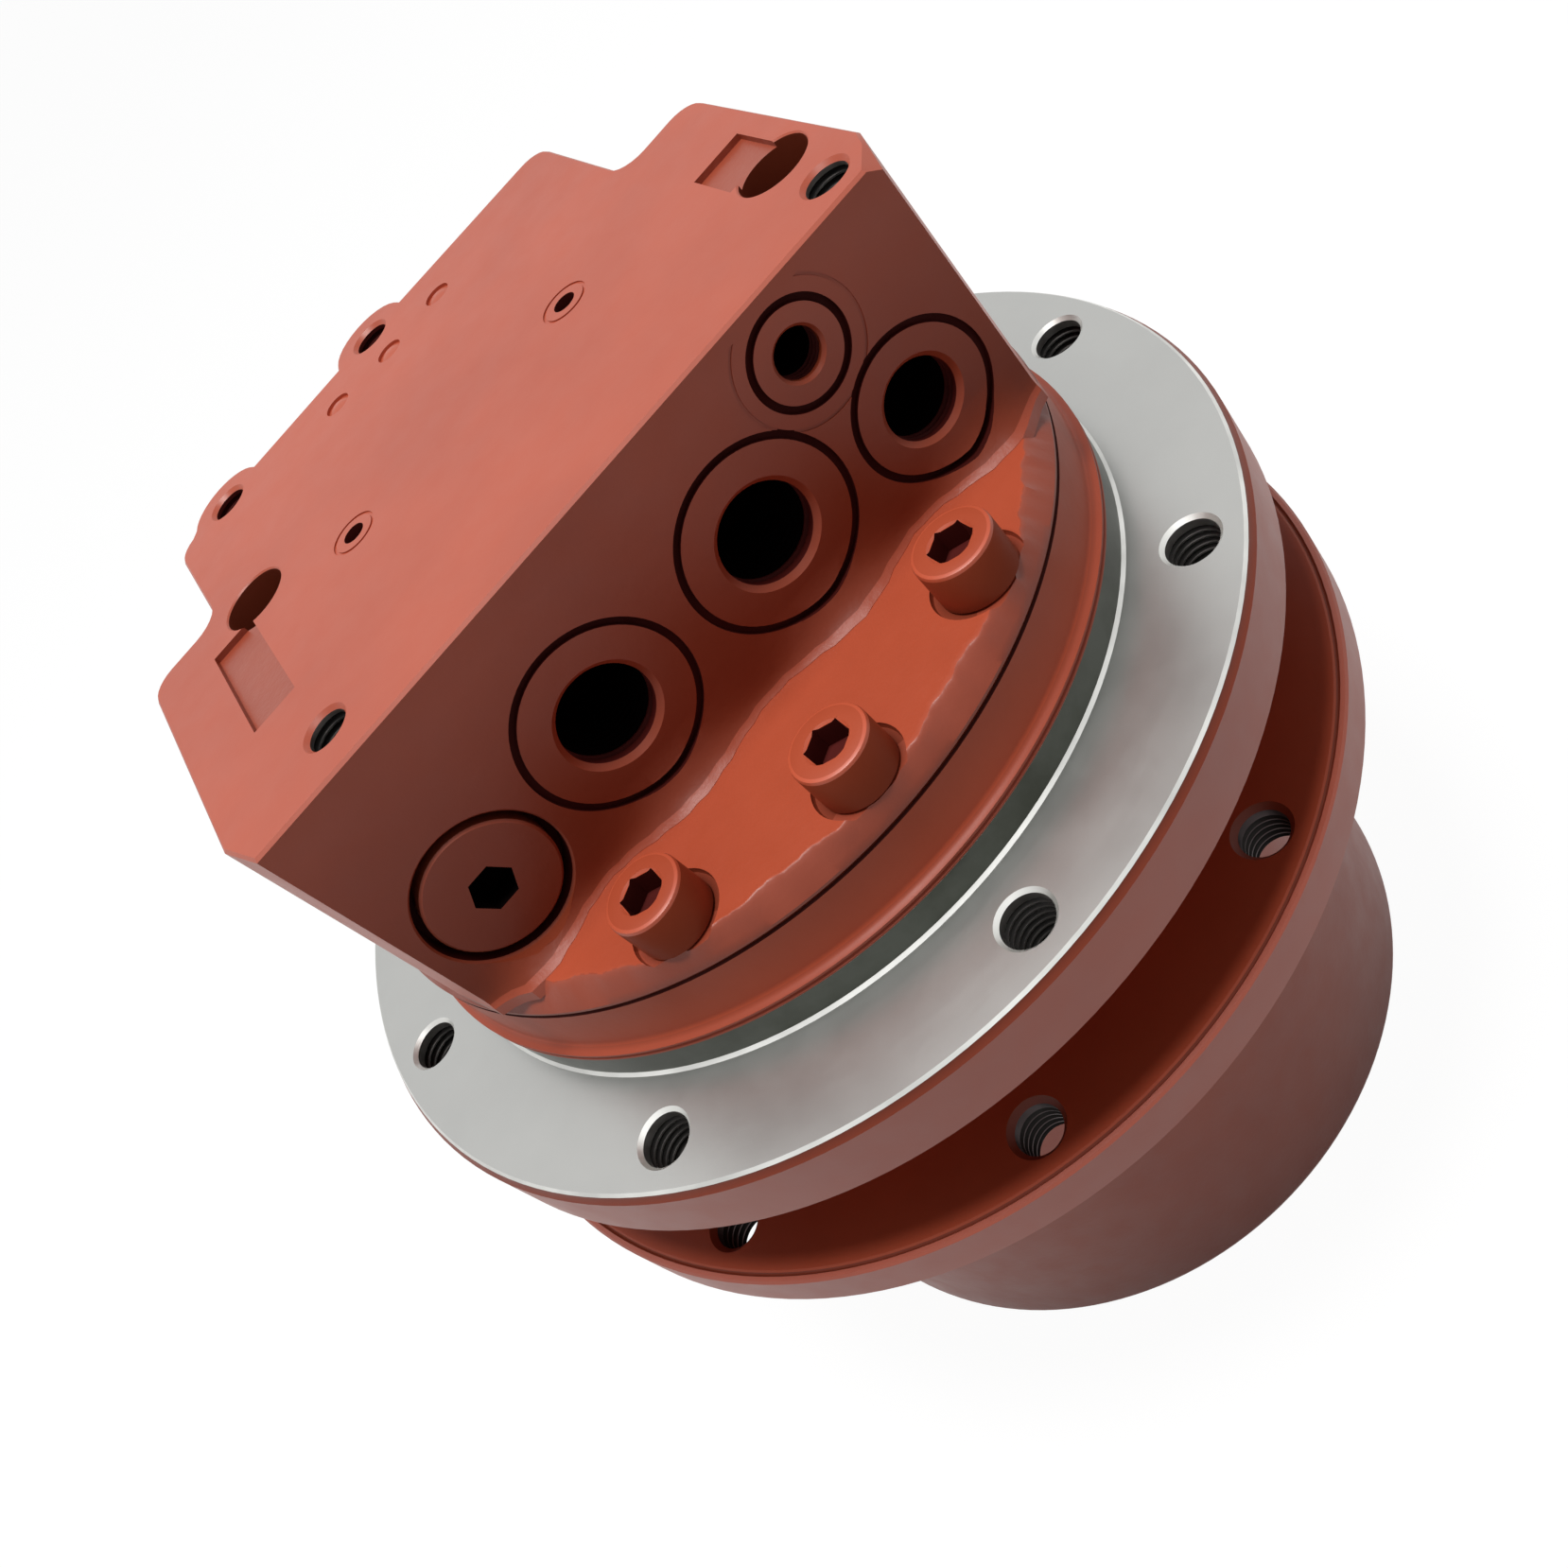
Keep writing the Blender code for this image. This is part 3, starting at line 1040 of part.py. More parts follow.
def make_spindle_parts():
    """Bearing nut and the fixed pins of the second-stage planets."""
    nut_top = BEARING_LOWER_BOTTOM - GAP
    make_object(
        "bearing_nut", ring(SPINDLE_R + GAP, NUT_R, nut_top - NUT_WIDTH, nut_top, FINE), dark_steel())
    for number, a in enumerate(planet_angles(), 1):
        make_object(
            f"planet_2_pin_{number}",
            rod(PIN_R, PLANET_2_BOTTOM - GAP, SPINDLE_END + PIN_DEPTH - GAP, COARSE), steel(),
            location=(*polar(PLANET_2_CIRCLE_R, a), 0))


def make_planets(stage, frames, teeth, bottom, width):
    for number, (a, frame) in enumerate(zip(planet_angles(), frames), 1):
        gear = make_object(
            f"planet_{stage}_gear_{number}", spur_gear(teeth, bottom, bottom + width, planet_phase(a, teeth)),
            dark_steel(), parent=frame,
        )
        bore = rod(PIN_R + PIN_PLAY, bottom - OVERRUN, bottom + width + OVERRUN, COARSE)
        helper = boolean(gear, bore, "DIFFERENCE", "bore")
        helper.parent = frame


def make_carrier(frame):
    """First-stage carrier with its three pins, and the second sun that it drives."""
    lobe = PLANET_1_CIRCLE_R + 0.011
    waist = 11 * MODULE
    outline = []
    for k in range(PLANET_COUNT):
        centre = PLANET_START + 2 * math.pi * k / PLANET_COUNT
        outline += [polar(lobe, centre + math.radians(d)) for d in (-16, -8, 0, 8, 16)]
        outline.append(polar(waist, centre + math.pi / PLANET_COUNT))
    plate = prism(outline, CARRIER_BOTTOM, CARRIER_TOP)
    carrier = make_object("planet_carrier", plate, dark_steel(), parent=frame)
    pin_shape = (PIN_R, PLANET_1_BOTTOM - 2 * GAP, CARRIER_TOP - OVERRUN, COARSE)
    pins = [moved(rod(*pin_shape), (*polar(PLANET_1_CIRCLE_R, a), 0)) for a in planet_angles()]
    boolean(carrier, joined(pins), "UNION", "pins")
    collar_r = 0.0155
    bore = rod(collar_r + GAP, CARRIER_BOTTOM - OVERRUN, CARRIER_TOP + OVERRUN, MEDIUM)
    boolean(carrier, bore, "DIFFERENCE", "bore")
    make_sun_2(collar_r, frame)


def make_sun_2(collar_r, frame):
    """Second sun, whose collar sits in the carrier's bore and clears the drive shaft."""
    shaft_play, end_play = 0.0012, 0.0005
    top = PLANET_2_BOTTOM + PLANET_2_WIDTH - end_play
    phase = sun_phase(SUN_2_TEETH, PLANET_2_TEETH)
    gear = spur_gear(SUN_2_TEETH, CARRIER_TOP + end_play, top, phase)
    sun = make_object("sun_gear_2", gear, dark_steel(), parent=frame)
    collar = rod(collar_r, CARRIER_BOTTOM + GAP, CARRIER_TOP + OVERRUN, MEDIUM)
    boolean(sun, collar, "UNION", "collar")
    bore = rod(SHAFT_GEAR_R + shaft_play, CARRIER_BOTTOM - OVERRUN, top + OVERRUN, COARSE + 4)
    boolean(sun, bore, "DIFFERENCE", "bore")


def make_face_seal(spin):
    """Floating face seal: two lapped rings pressed together, one in the hub and one under the flange."""
    low, high = SEAL_FLOOR + GAP, FRAME_FLANGE_BOTTOM - GAP
    outer = SEAL_SKIRT_INNER_R - GAP
    taper = 0.003
    make_object(
        "face_seal_hub_ring",
        turned([(SEAL_INNER_R, low), (outer - taper, low), (outer, SEAL_SPLIT - GAP / 2),
                (SEAL_INNER_R, SEAL_SPLIT - GAP / 2)], FINE), dark_steel(), parent=spin)
    make_object(
        "face_seal_case_ring",
        turned([(SEAL_INNER_R, SEAL_SPLIT + GAP / 2), (outer, SEAL_SPLIT + GAP / 2), (outer, high - taper),
                (outer - taper, high), (SEAL_INNER_R, high)], FINE), dark_steel())


def main():
    clear_scene()
    spin = empty_at("hub_axis", (0, 0, 0))
    shaft = empty_at("shaft_axis", (0, 0, 0))
    carrier = empty_at("carrier_axis", (0, 0, 0))
    lower_cage = empty_at("lower_cage_axis", (0, 0, 0))
    upper_cage = empty_at("upper_cage_axis", (0, 0, 0))
    tilt = empty_at("swash_axis", (0, 0, SWASH_PIVOT_Z), rotation=(-SWASH_TILT, 0, 0))
    shoes = empty_at("shoe_axis", (0, 0, 0), parent=tilt)
    make_port_block()
    make_block_screws()
    make_front_plug()
    make_speed_spool()
    make_counterbalance_spool()
    make_case()
    make_valve_plate()
    make_shaft_parts(shaft)
    make_barrel(shaft)
    make_swash(tilt, shoes)
    make_speed_piston()
    make_brake(shaft)
    make_hub(spin)
    make_ring_gear(spin)
    make_end_cover(spin)
    make_cover_clip(spin)
    make_bearing("lower_bearing", BEARING_LOWER_BOTTOM, spin, lower_cage)
    make_bearing("upper_bearing", BEARING_UPPER_BOTTOM, spin, upper_cage)
    make_spindle_parts()
    first = [empty_at(f"planet_1_axis_{k}", (*polar(PLANET_1_CIRCLE_R, a), 0), parent=carrier)
             for k, a in enumerate(planet_angles(), 1)]
    second = [empty_at(f"planet_2_axis_{k}", (*polar(PLANET_2_CIRCLE_R, a), 0))
              for k, a in enumerate(planet_angles(), 1)]
    make_planets(1, first, PLANET_1_TEETH, PLANET_1_BOTTOM, PLANET_1_WIDTH)
    make_planets(2, second, PLANET_2_TEETH, PLANET_2_BOTTOM, PLANET_2_WIDTH)
    make_carrier(carrier)
    make_face_seal(spin)


main()
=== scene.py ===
import json
import math

import bmesh
import bpy
from mathutils import Matrix, Vector


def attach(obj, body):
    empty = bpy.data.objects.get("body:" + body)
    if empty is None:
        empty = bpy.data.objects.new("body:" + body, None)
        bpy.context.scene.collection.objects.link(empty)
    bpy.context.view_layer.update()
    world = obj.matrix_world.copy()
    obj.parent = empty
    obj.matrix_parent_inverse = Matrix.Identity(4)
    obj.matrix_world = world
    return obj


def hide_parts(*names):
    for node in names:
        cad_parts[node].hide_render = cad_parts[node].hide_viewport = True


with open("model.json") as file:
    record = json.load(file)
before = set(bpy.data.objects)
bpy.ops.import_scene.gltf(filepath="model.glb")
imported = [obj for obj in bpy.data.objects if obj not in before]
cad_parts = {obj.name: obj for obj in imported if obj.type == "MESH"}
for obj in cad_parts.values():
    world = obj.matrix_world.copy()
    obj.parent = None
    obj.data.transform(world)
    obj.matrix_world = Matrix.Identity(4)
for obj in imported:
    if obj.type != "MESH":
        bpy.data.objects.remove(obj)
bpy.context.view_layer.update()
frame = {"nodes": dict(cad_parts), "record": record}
print("frame loaded:", len(frame["nodes"]), "nodes")


# camera, floor and lights

view = {
    "unit": 0.114,            # frame flange radius, which the camera was fitted in
    "lens": 35.95,
    "sensor": 36,
    "nearest": 0.01,
    "distance": 2.9886,
    "elevation": 0.6864,
    "roll": -0.8485,
    "shift": (0.0742, -0.1792),
    "targetZ": 0.153,
}


def buildCamera():
    e, roll = view["elevation"], view["roll"]
    back = Vector((0, -math.cos(e), math.sin(e)))
    side = Vector((1, 0, 0))
    up = back.cross(side)
    right = math.cos(roll) * side + math.sin(roll) * up
    top = -math.sin(roll) * side + math.cos(roll) * up
    data = bpy.data.cameras.new("camera")
    data.lens = view["lens"]
    data.sensor_width = view["sensor"]
    data.clip_start = view["nearest"]
    camera = bpy.data.objects.new("camera", data)
    bpy.context.scene.collection.objects.link(camera)
    place = back * view["distance"] + right * view["shift"][0] + top * view["shift"][1]
    turn = Matrix((right, top, back)).transposed().to_4x4()
    camera.matrix_world = Matrix.Translation(place * view["unit"] + Vector((0, 0, view["targetZ"]))) @ turn
    bpy.context.scene.camera = camera


light = {
    "key": {"at": (-0.05, -0.10, 1.60), "size": 0.55, "watts": 19.3, "colour": (1.0, 0.99, 0.98)},
    "aim": (0, 0, 0.14),
    "ambient": 0.19,
    "mirror": 0.93,           # strength in reflections, of the world and of the floor
    "floorR": 6.0,
    "floorTone": 0.30,        # what the floor throws back on the object
    "floorWhite": 1.03,       # what the camera sees of it, apart from the shadow
    "floorShade": 0.07,
}


def buildLamp():
    lamp = light["key"]
    data = bpy.data.lights.new("key", "AREA")
    data.shape = "DISK"
    data.size = lamp["size"]
    data.energy = lamp["watts"]
    data.color = lamp["colour"]
    lampObject = bpy.data.objects.new("key", data)
    bpy.context.scene.collection.objects.link(lampObject)
    at = Vector(lamp["at"])
    aim = (Vector(light["aim"]) - at).to_track_quat("-Z", "Y")
    lampObject.matrix_world = Matrix.Translation(at) @ aim.to_matrix().to_4x4()


def mixByRay(tree, rayKind, plain, special):
    rays = tree.nodes.new("ShaderNodeLightPath")
    mix = tree.nodes.new("ShaderNodeMixShader")
    tree.links.new(rays.outputs[rayKind], mix.inputs[0])
    tree.links.new(plain.outputs[0], mix.inputs[1])
    tree.links.new(special.outputs[0], mix.inputs[2])
    return mix


def glow(tree, kind, strength):
    return addNode(tree, kind, Strength=strength, Color=(1, 1, 1, 1))


def buildWorld():
    world = bpy.data.worlds.new("studio")
    bpy.context.scene.world = world
    world.use_nodes = True
    tree = world.node_tree
    tree.nodes.clear()
    out = tree.nodes.new("ShaderNodeOutputWorld")
    seen = mixByRay(tree, "Is Glossy Ray", glow(tree, "ShaderNodeBackground", light["ambient"]),
                    glow(tree, "ShaderNodeBackground", light["mirror"]))
    seen = mixByRay(tree, "Is Camera Ray", seen, glow(tree, "ShaderNodeBackground", 1.0))
    tree.links.new(seen.outputs[0], out.inputs[0])


def buildFloor():
    bm = bmesh.new()
    bmesh.ops.create_circle(bm, cap_ends=True, segments=96, radius=light["floorR"])
    floor = meshObject("floor", bm)
    material = bpy.data.materials.new("whiteFloor")
    material.use_nodes = True
    tree = material.node_tree
    tree.nodes.clear()
    out = tree.nodes.new("ShaderNodeOutputMaterial")
    lit = addNode(tree, "ShaderNodeBsdfDiffuse", Color=(*[light["floorTone"]] * 3, 1))
    seen = mixByRay(tree, "Is Glossy Ray", lit, glow(tree, "ShaderNodeEmission", light["mirror"]))
    pale = addNode(tree, "ShaderNodeBsdfDiffuse", Color=(1, 1, 1, 1))
    shaded = addNode(tree, "ShaderNodeMixShader", Fac=light["floorShade"])
    tree.links.new(glow(tree, "ShaderNodeEmission", light["floorWhite"]).outputs[0], shaded.inputs[1])
    tree.links.new(pale.outputs[0], shaded.inputs[2])
    seen = mixByRay(tree, "Is Camera Ray", seen, shaded)
    tree.links.new(seen.outputs[0], out.inputs["Surface"])
    floor.data.materials.append(material)


# finishes

paintLook = {
    "tint": (0.46, 0.080, 0.034),
    "shade": (0.4085, 0.0684, 0.0285),
    "roughness": (0.40, 0.46),
    "gloss": 0.6,
}


def newMaterial(name, metallic=0.0, specular=0.5):
    material = bpy.data.materials.new(name)
    material.use_nodes = True
    shader = material.node_tree.nodes["Principled BSDF"]
    shader.inputs["Metallic"].default_value = metallic
    shader.inputs["Specular IOR Level"].default_value = specular
    return material, material.node_tree, shader


def addNode(tree, kind, settings=None, **values):
    node = tree.nodes.new(kind)
    for key, value in (settings or {}).items():
        setattr(node, key, value)
    for key, value in values.items():
        node.inputs[key].default_value = value
    return node


def objectCoords(tree):
    return addNode(tree, "ShaderNodeTexCoord").outputs["Object"]


def noise(tree, coords, scale, detail=3.0, roughness=0.55):
    node = addNode(tree, "ShaderNodeTexNoise", Scale=scale, Detail=detail, Roughness=roughness)
    tree.links.new(coords, node.inputs["Vector"])
    return node.outputs["Fac"]


def ramp(tree, source, stops):
    node = tree.nodes.new("ShaderNodeValToRGB")
    for element, (place, colour) in zip(node.color_ramp.elements, stops):
        element.position = place
        element.color = (*colour, 1)
    tree.links.new(source, node.inputs["Fac"])
    return node.outputs["Color"]


def spread(tree, source, low, high, fromLow=0.3, fromHigh=0.7):
    limits = {"From Min": fromLow, "From Max": fromHigh, "To Min": low, "To Max": high}
    node = addNode(tree, "ShaderNodeMapRange", **limits)
    tree.links.new(source, node.inputs["Value"])
    return node.outputs["Result"]


def bump(tree, height, strength, distance, under=None):
    node = addNode(tree, "ShaderNodeBump", Strength=strength, Distance=distance)
    tree.links.new(height, node.inputs["Height"])
    if under is not None:
        tree.links.new(under, node.inputs["Normal"])
    return node.outputs["Normal"]


# primer over turned or cast iron; cast is how rough the skin under it is, from 0 to 1, and fade is painted
# shade:
# the low level, the high level and the share of the tone that is left at the low one, darker and duller below
def primer(name, cast=0.0, tone=1.0, gloss=None, fade=None):
    gloss = paintLook["gloss"] if gloss is None else gloss
    material, tree, shader = newMaterial(name, specular=gloss)
    coords = objectCoords(tree)
    pale = [tone * c for c in paintLook["tint"]]
    deep = [tone * c for c in paintLook["shade"]]
    colour = ramp(tree, noise(tree, coords, 22.0, 4.0), [(0.34, deep), (0.62, pale)])
    # painted shade: below the high level the colour darkens and the sheen dulls, most at the low level
    if fade:
        low, high, share = fade
        parts = addNode(tree, "ShaderNodeSeparateXYZ")
        tree.links.new(coords, parts.inputs[0])
        left = spread(tree, parts.outputs["Z"], share, 1.0, low, high)
        weaker = addNode(tree, "ShaderNodeVectorMath", {"operation": "SCALE"})
        tree.links.new(colour, weaker.inputs[0])
        tree.links.new(left, weaker.inputs["Scale"])
        colour = weaker.outputs[0]
        dull = spread(tree, left, gloss * share * share, gloss, share, 1.0)
        tree.links.new(dull, shader.inputs["Specular IOR Level"])
    tree.links.new(colour, shader.inputs["Base Color"])
    low, high = paintLook["roughness"]
    tree.links.new(spread(tree, noise(tree, coords, 140.0), low, high), shader.inputs["Roughness"])
    skin = bump(tree, noise(tree, coords, 900.0, 2.0), 0.06 + 0.12 * cast, 0.0002)
    if cast:
        skin = bump(tree, noise(tree, coords, 300.0, 5.0, 0.65), 0.30 * cast, 0.0006, skin)
    tree.links.new(skin, shader.inputs["Normal"])
    return material


def radialDistance(tree, coords):
    flat = addNode(tree, "ShaderNodeVectorMath", {"operation": "MULTIPLY"})
    flat.inputs[1].default_value = (1, 1, 0)
    tree.links.new(coords, flat.inputs[0])
    length = addNode(tree, "ShaderNodeVectorMath", {"operation": "LENGTH"})
    tree.links.new(flat.outputs[0], length.inputs[0])
    return length.outputs["Value"]


# bare turned steel: fine tool rings round the axis, soft oil stains over them
def turnedSteel(name, bright, dull, roughness):
    material, tree, shader = newMaterial(name, metallic=1.0)
    coords = objectCoords(tree)
    stains = noise(tree, coords, 38.0, 5.0, 0.6)
    colour = ramp(tree, stains, [(0.35, dull), (0.575, bright)])
    tree.links.new(colour, shader.inputs["Base Color"])
    low, high = roughness
    tree.links.new(spread(tree, noise(tree, coords, 90.0, 4.0), low, high), shader.inputs["Roughness"])
    rings = addNode(tree, "ShaderNodeTexNoise", {"noise_dimensions": "1D"}, Scale=9000.0, Detail=2.0)
    tree.links.new(radialDistance(tree, coords), rings.inputs["W"])
    tool = bump(tree, rings.outputs["Fac"], 0.12, 0.0001)
    tree.links.new(bump(tree, noise(tree, coords, 700.0), 0.05, 0.0001, tool), shader.inputs["Normal"])
    return material


def plainFinish(name, colour, roughness, metallic, specular=0.5):
    material, tree, shader = newMaterial(name, metallic, specular)
    coords = objectCoords(tree)
    darker = tuple(0.75 * c for c in colour)
    mottle = ramp(tree, noise(tree, coords, 60.0), [(0.35, darker), (0.65, colour)])
    tree.links.new(mottle, shader.inputs["Base Color"])
    tree.links.new(spread(tree, noise(tree, coords, 180.0), roughness - 0.06, roughness + 0.08),
                   shader.inputs["Roughness"])
    tree.links.new(bump(tree, noise(tree, coords, 1200.0), 0.08, 0.0001), shader.inputs["Normal"])
    return material


machinedPaint = primer("machinedPaint", tone=0.95)
castPaint = primer("castPaint", cast=1.0)
sidePaint = primer("sidePaint", cast=0.3, tone=1.05, gloss=0.25)
rimPaint = primer("rimPaint", tone=0.97, gloss=0.85)
# painted light: a lighter copy of the primer on the block's front corner chamfers
litChamferPaint = primer("litChamferPaint", cast=0.5, tone=1.2, gloss=0.6)
# painted shade: a darker copy of the primer for the front wall and the plug in it, darker still towards the
# ledge
frontShadePaint = primer("frontShadePaint", cast=0.35, tone=0.80, gloss=0.5, fade=(0.188, 0.230, 0.62))
ledgePaint = primer("ledgePaint", cast=0.6, gloss=0.3)
# painted shade: a darker copy of the primer for the foot's side and the ledge's rounded lip, darker still
# towards the joint below
footShadePaint = primer("footShadePaint", cast=0.6, tone=0.74, gloss=0.6, fade=(0.1770, 0.1812, 0.88))
# painted shade: a darker copy of the primer on the fillet's toe where the front wall meets the ledge
toeShadePaint = primer("toeShadePaint", cast=0.8, tone=0.78, gloss=0.35)
screwPaint = primer("screwPaint", cast=0.2, tone=0.95, gloss=0.3)
# painted shade: a darker copy of the primer on the sides of the screw heads
screwSideShade = primer("screwSideShade", cast=0.2, tone=0.70, gloss=0.05)
tagPaint = primer("tagPaint", cast=1.0, tone=0.68, gloss=0.6)
# painted shade: the hub's primer darkens and loses its sheen towards the floor
hubPaintShadedLow = primer("hubPaintShadedLow", cast=0.2, tone=1.0, gloss=0.32, fade=(0.0, 0.080, 0.56))
bandPaint = primer("bandPaint", tone=0.85, gloss=0.3)
# painted shade: a darker copy of the primer on the mouth chamfers of the ports
portRimShade = primer("portRimShade", tone=0.72, gloss=0.3)
# painted highlight: a lighter copy of the primer on the rounded rims of the screw heads
screwRimHighlight = primer("screwRimHighlight", tone=1.2, gloss=0.6)
# painted shade: a much darker copy of the primer for the well walls, the screws' spot faces, the frame flange's
# rim chamfer, the hub's rim groove and its hole mouths
shadePaint = primer("shadePaint", tone=0.50, gloss=0.3)
barePlate = turnedSteel("bareFlangeSteel", (0.50, 0.503, 0.487), (0.485, 0.487, 0.472), (0.34, 0.37))
# painted highlight: a much brighter copy of the bare steel for the chamfers of the frame flange, its tapped
# holes and the spigot
chamferHighlight = plainFinish("chamferHighlight", (0.80, 0.80, 0.77), 0.45, 1.0)
# painted shade and painted reflection: turned steel darkened far below the flange's steel for the spigot band
# under the case lip
spigotShadeSteel = turnedSteel("spigotShadeSteel", (0.105, 0.112, 0.098), (0.07, 0.075, 0.062), (0.28, 0.36))
threadSteel = plainFinish("threadSteel", (0.72, 0.70, 0.67), 0.34, 1.0)
# painted shade: dark steel for the thread crests in the hub flange's tapped holes, which lie under the frame
# flange
holeShadeSteel = plainFinish("holeShadeSteel", (0.065, 0.045, 0.045), 0.45, 1.0)
# painted shade: near black steel for the thread roots and the depths of the tapped holes
threadShade = plainFinish("threadShade", (0.045, 0.042, 0.040), 0.5, 1.0)
seamPaint = plainFinish("seamPaint", (0.060, 0.008, 0.005), 0.7, 0.0, 0.1)
# painted shade: near black red for the ports' sealing grooves and the plug's recess
grooveShade = plainFinish("grooveShade", (0.050, 0.0045, 0.003), 0.7, 0.0, 0.1)
# painted shade: dark red for the first millimetres inside bores, holes and sockets, near black further in
boreShade = plainFinish("boreShade", (0.085, 0.010, 0.008), 0.6, 0.0, 0.1)
boreDeepShade = plainFinish("boreDeepShade", (0.006, 0.003, 0.003), 0.8, 0.0, 0.0)
groundSteel = plainFinish("groundSteel", (0.55, 0.55, 0.54), 0.28, 1.0)
hardSteel = plainFinish("hardSteel", (0.22, 0.22, 0.23), 0.35, 1.0)
turnedBronze = plainFinish("turnedBronze", (0.62, 0.42, 0.20), 0.35, 1.0)
sealRubber = plainFinish("sealRubber", (0.03, 0.03, 0.03), 0.6, 0.0)
print("finishes made")


# shaping tools

proud = 0.003     # how far a cutter stands out of the face that it cuts
gap = 0.0003      # clearance between a piece and its seat
slack = 0.0001    # a face this near a level is taken to lie on it


# spins a (radius, height) profile; closed on itself unless both ends lie on the axis
def lathe(profile, steps, axis="Z", at=(0, 0, 0)):
    bm = bmesh.new()
    verts = [bm.verts.new((r, 0, z)) for r, z in profile]
    edges = [bm.edges.new(pair) for pair in zip(verts, verts[1:])]
    if profile[0][0] > 0 or profile[-1][0] > 0:
        edges.append(bm.edges.new((verts[-1], verts[0])))
    bmesh.ops.spin(bm, geom=verts + edges, cent=(0, 0, 0), axis=(0, 0, 1), dvec=(0, 0, 0),
                   angle=2 * math.pi, steps=steps, use_merge=True)
    bmesh.ops.remove_doubles(bm, verts=bm.verts, dist=1e-7)
    bmesh.ops.recalc_face_normals(bm, faces=bm.faces)
    turns = {"Z": Matrix.Identity(3), "X": Matrix.Rotation(math.pi / 2, 3, "Y"),
             "-Y": Matrix.Rotation(math.pi / 2, 3, "X")}
    bmesh.ops.rotate(bm, verts=bm.verts, cent=(0, 0, 0), matrix=turns[axis])
    bmesh.ops.translate(bm, verts=bm.verts, vec=at)
    return bm


# a flat outline drawn up through several levels
def raisedOutline(outline, levels):
    bm = bmesh.new()
    face = bm.faces.new([bm.verts.new((x, y, levels[0])) for x, y in outline])
    for low, high in zip(levels, levels[1:]):
        raised = bmesh.ops.extrude_face_region(bm, geom=[face])
        if low != levels[0]:
            bm.faces.remove(face)
        face = [f for f in raised["geom"] if isinstance(f, bmesh.types.BMFace)][0]
        up = [v for v in raised["geom"] if isinstance(v, bmesh.types.BMVert)]
        bmesh.ops.translate(bm, verts=up, vec=(0, 0, high - low))
    bmesh.ops.recalc_face_normals(bm, faces=bm.faces)
    return bm


def brick(low, high):
    bm = bmesh.new()
    bmesh.ops.create_cube(bm, size=1.0)
    bmesh.ops.scale(bm, vec=Vector(high) - Vector(low), verts=bm.verts)
    bmesh.ops.translate(bm, vec=(Vector(high) + Vector(low)) / 2, verts=bm.verts)
    return bm


# several cutters or shapes in one mesh
def together(parts):
    whole = bmesh.new()
    for bm in parts:
        scratch = bpy.data.meshes.new("scratch")
        bm.to_mesh(scratch)
        bm.free()
        whole.from_mesh(scratch)
        bpy.data.meshes.remove(scratch)
    return whole


def meshObject(name, bm):
    mesh = bpy.data.meshes.new(name)
    bm.to_mesh(mesh)
    bm.free()
    made = bpy.data.objects.new(name, mesh)
    bpy.context.scene.collection.objects.link(made)
    return made


# cuts a shape out of a piece, or joins it on, and keeps the result in the piece's mesh
def carve(target, bm, operation="DIFFERENCE"):
    cutter = meshObject("cutter", bm)
    modifier = target.modifiers.new("carve", "BOOLEAN")
    modifier.operation = operation
    modifier.solver = "EXACT"
    modifier.object = cutter
    graph = bpy.context.evaluated_depsgraph_get()
    result = bpy.data.meshes.new_from_object(target.evaluated_get(graph))
    target.modifiers.clear()
    old = target.data
    target.data = result
    result.name = target.name
    bpy.data.meshes.remove(old)
    scrap = cutter.data
    bpy.data.objects.remove(cutter)
    bpy.data.meshes.remove(scrap)


# shades a piece, gives each face the finish that choose names, or else the first one, hangs it on its
# body and hides the solids that it stands for
def finishPiece(piece, body, nodes, finishes, choose=None):
    mesh = piece.data
    bm = bmesh.new()
    bm.from_mesh(mesh)
    bmesh.ops.remove_doubles(bm, verts=bm.verts, dist=2e-6)
    bmesh.ops.dissolve_degenerate(bm, edges=bm.edges, dist=1e-6)
    bm.to_mesh(mesh)
    bm.free()
    mesh.materials.clear()
    for finish in finishes:
        mesh.materials.append(finish)
    if choose:
        for face in mesh.polygons:
            face.material_index = finishes.index(choose(face.center, face.normal))
    mesh.shade_smooth()
    mesh.set_sharp_from_angle(angle=math.radians(32))
    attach(piece, body)
    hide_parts(*nodes)


# cutter for a tapped hole: crests at the radius, roots bite deeper, a chamfer at the mouth
def threadedHole(radius, mouth, depth, pitch, steps, axis="Z", at=(0, 0, 0), tip=0.0):
    lip = mouth - radius
    bite = threadBite(pitch)
    profile = [(0, -depth - tip), (radius, -depth)]
    turns = int((depth - lip - 0.2 * pitch) / pitch)
    for k in range(turns):
        z = -depth + (k + 0.1) * pitch
        profile += [(radius, z), (radius + bite, z + 0.3 * pitch), (radius + bite, z + 0.5 * pitch),
                    (radius, z + 0.8 * pitch)]
    profile += [(radius, -lip), (mouth, 0), (mouth, proud), (0, proud)]
    return lathe(profile, steps, axis, at)


def threadBite(pitch):
    return 0.5 * pitch


# finish of a face in a tapped hole: its crests are bright steel, and the faces between them and below take a
# near black steel, painted shade
def threadPart(away, radius, pitch, crest=threadSteel):
    return crest if 0.8 * radius <= away < radius + 0.2 * threadBite(pitch) else threadShade


def arc(centre, radius, start, end, count):
    step = math.radians(end - start) / count
    return [(centre[0] + radius * math.cos(math.radians(start) + k * step),
             centre[1] + radius * math.sin(math.radians(start) + k * step)) for k in range(count + 1)]


def polar(radius, degrees):
    return radius * math.cos(math.radians(degrees)), radius * math.sin(math.radians(degrees))


# spots evenly round a flange
def boltSpots(spec):
    count = spec["boltCount"]
    return [polar(spec["boltR"], spec["boltPhase"] + 360 * k / count) for k in range(count)]


# port block

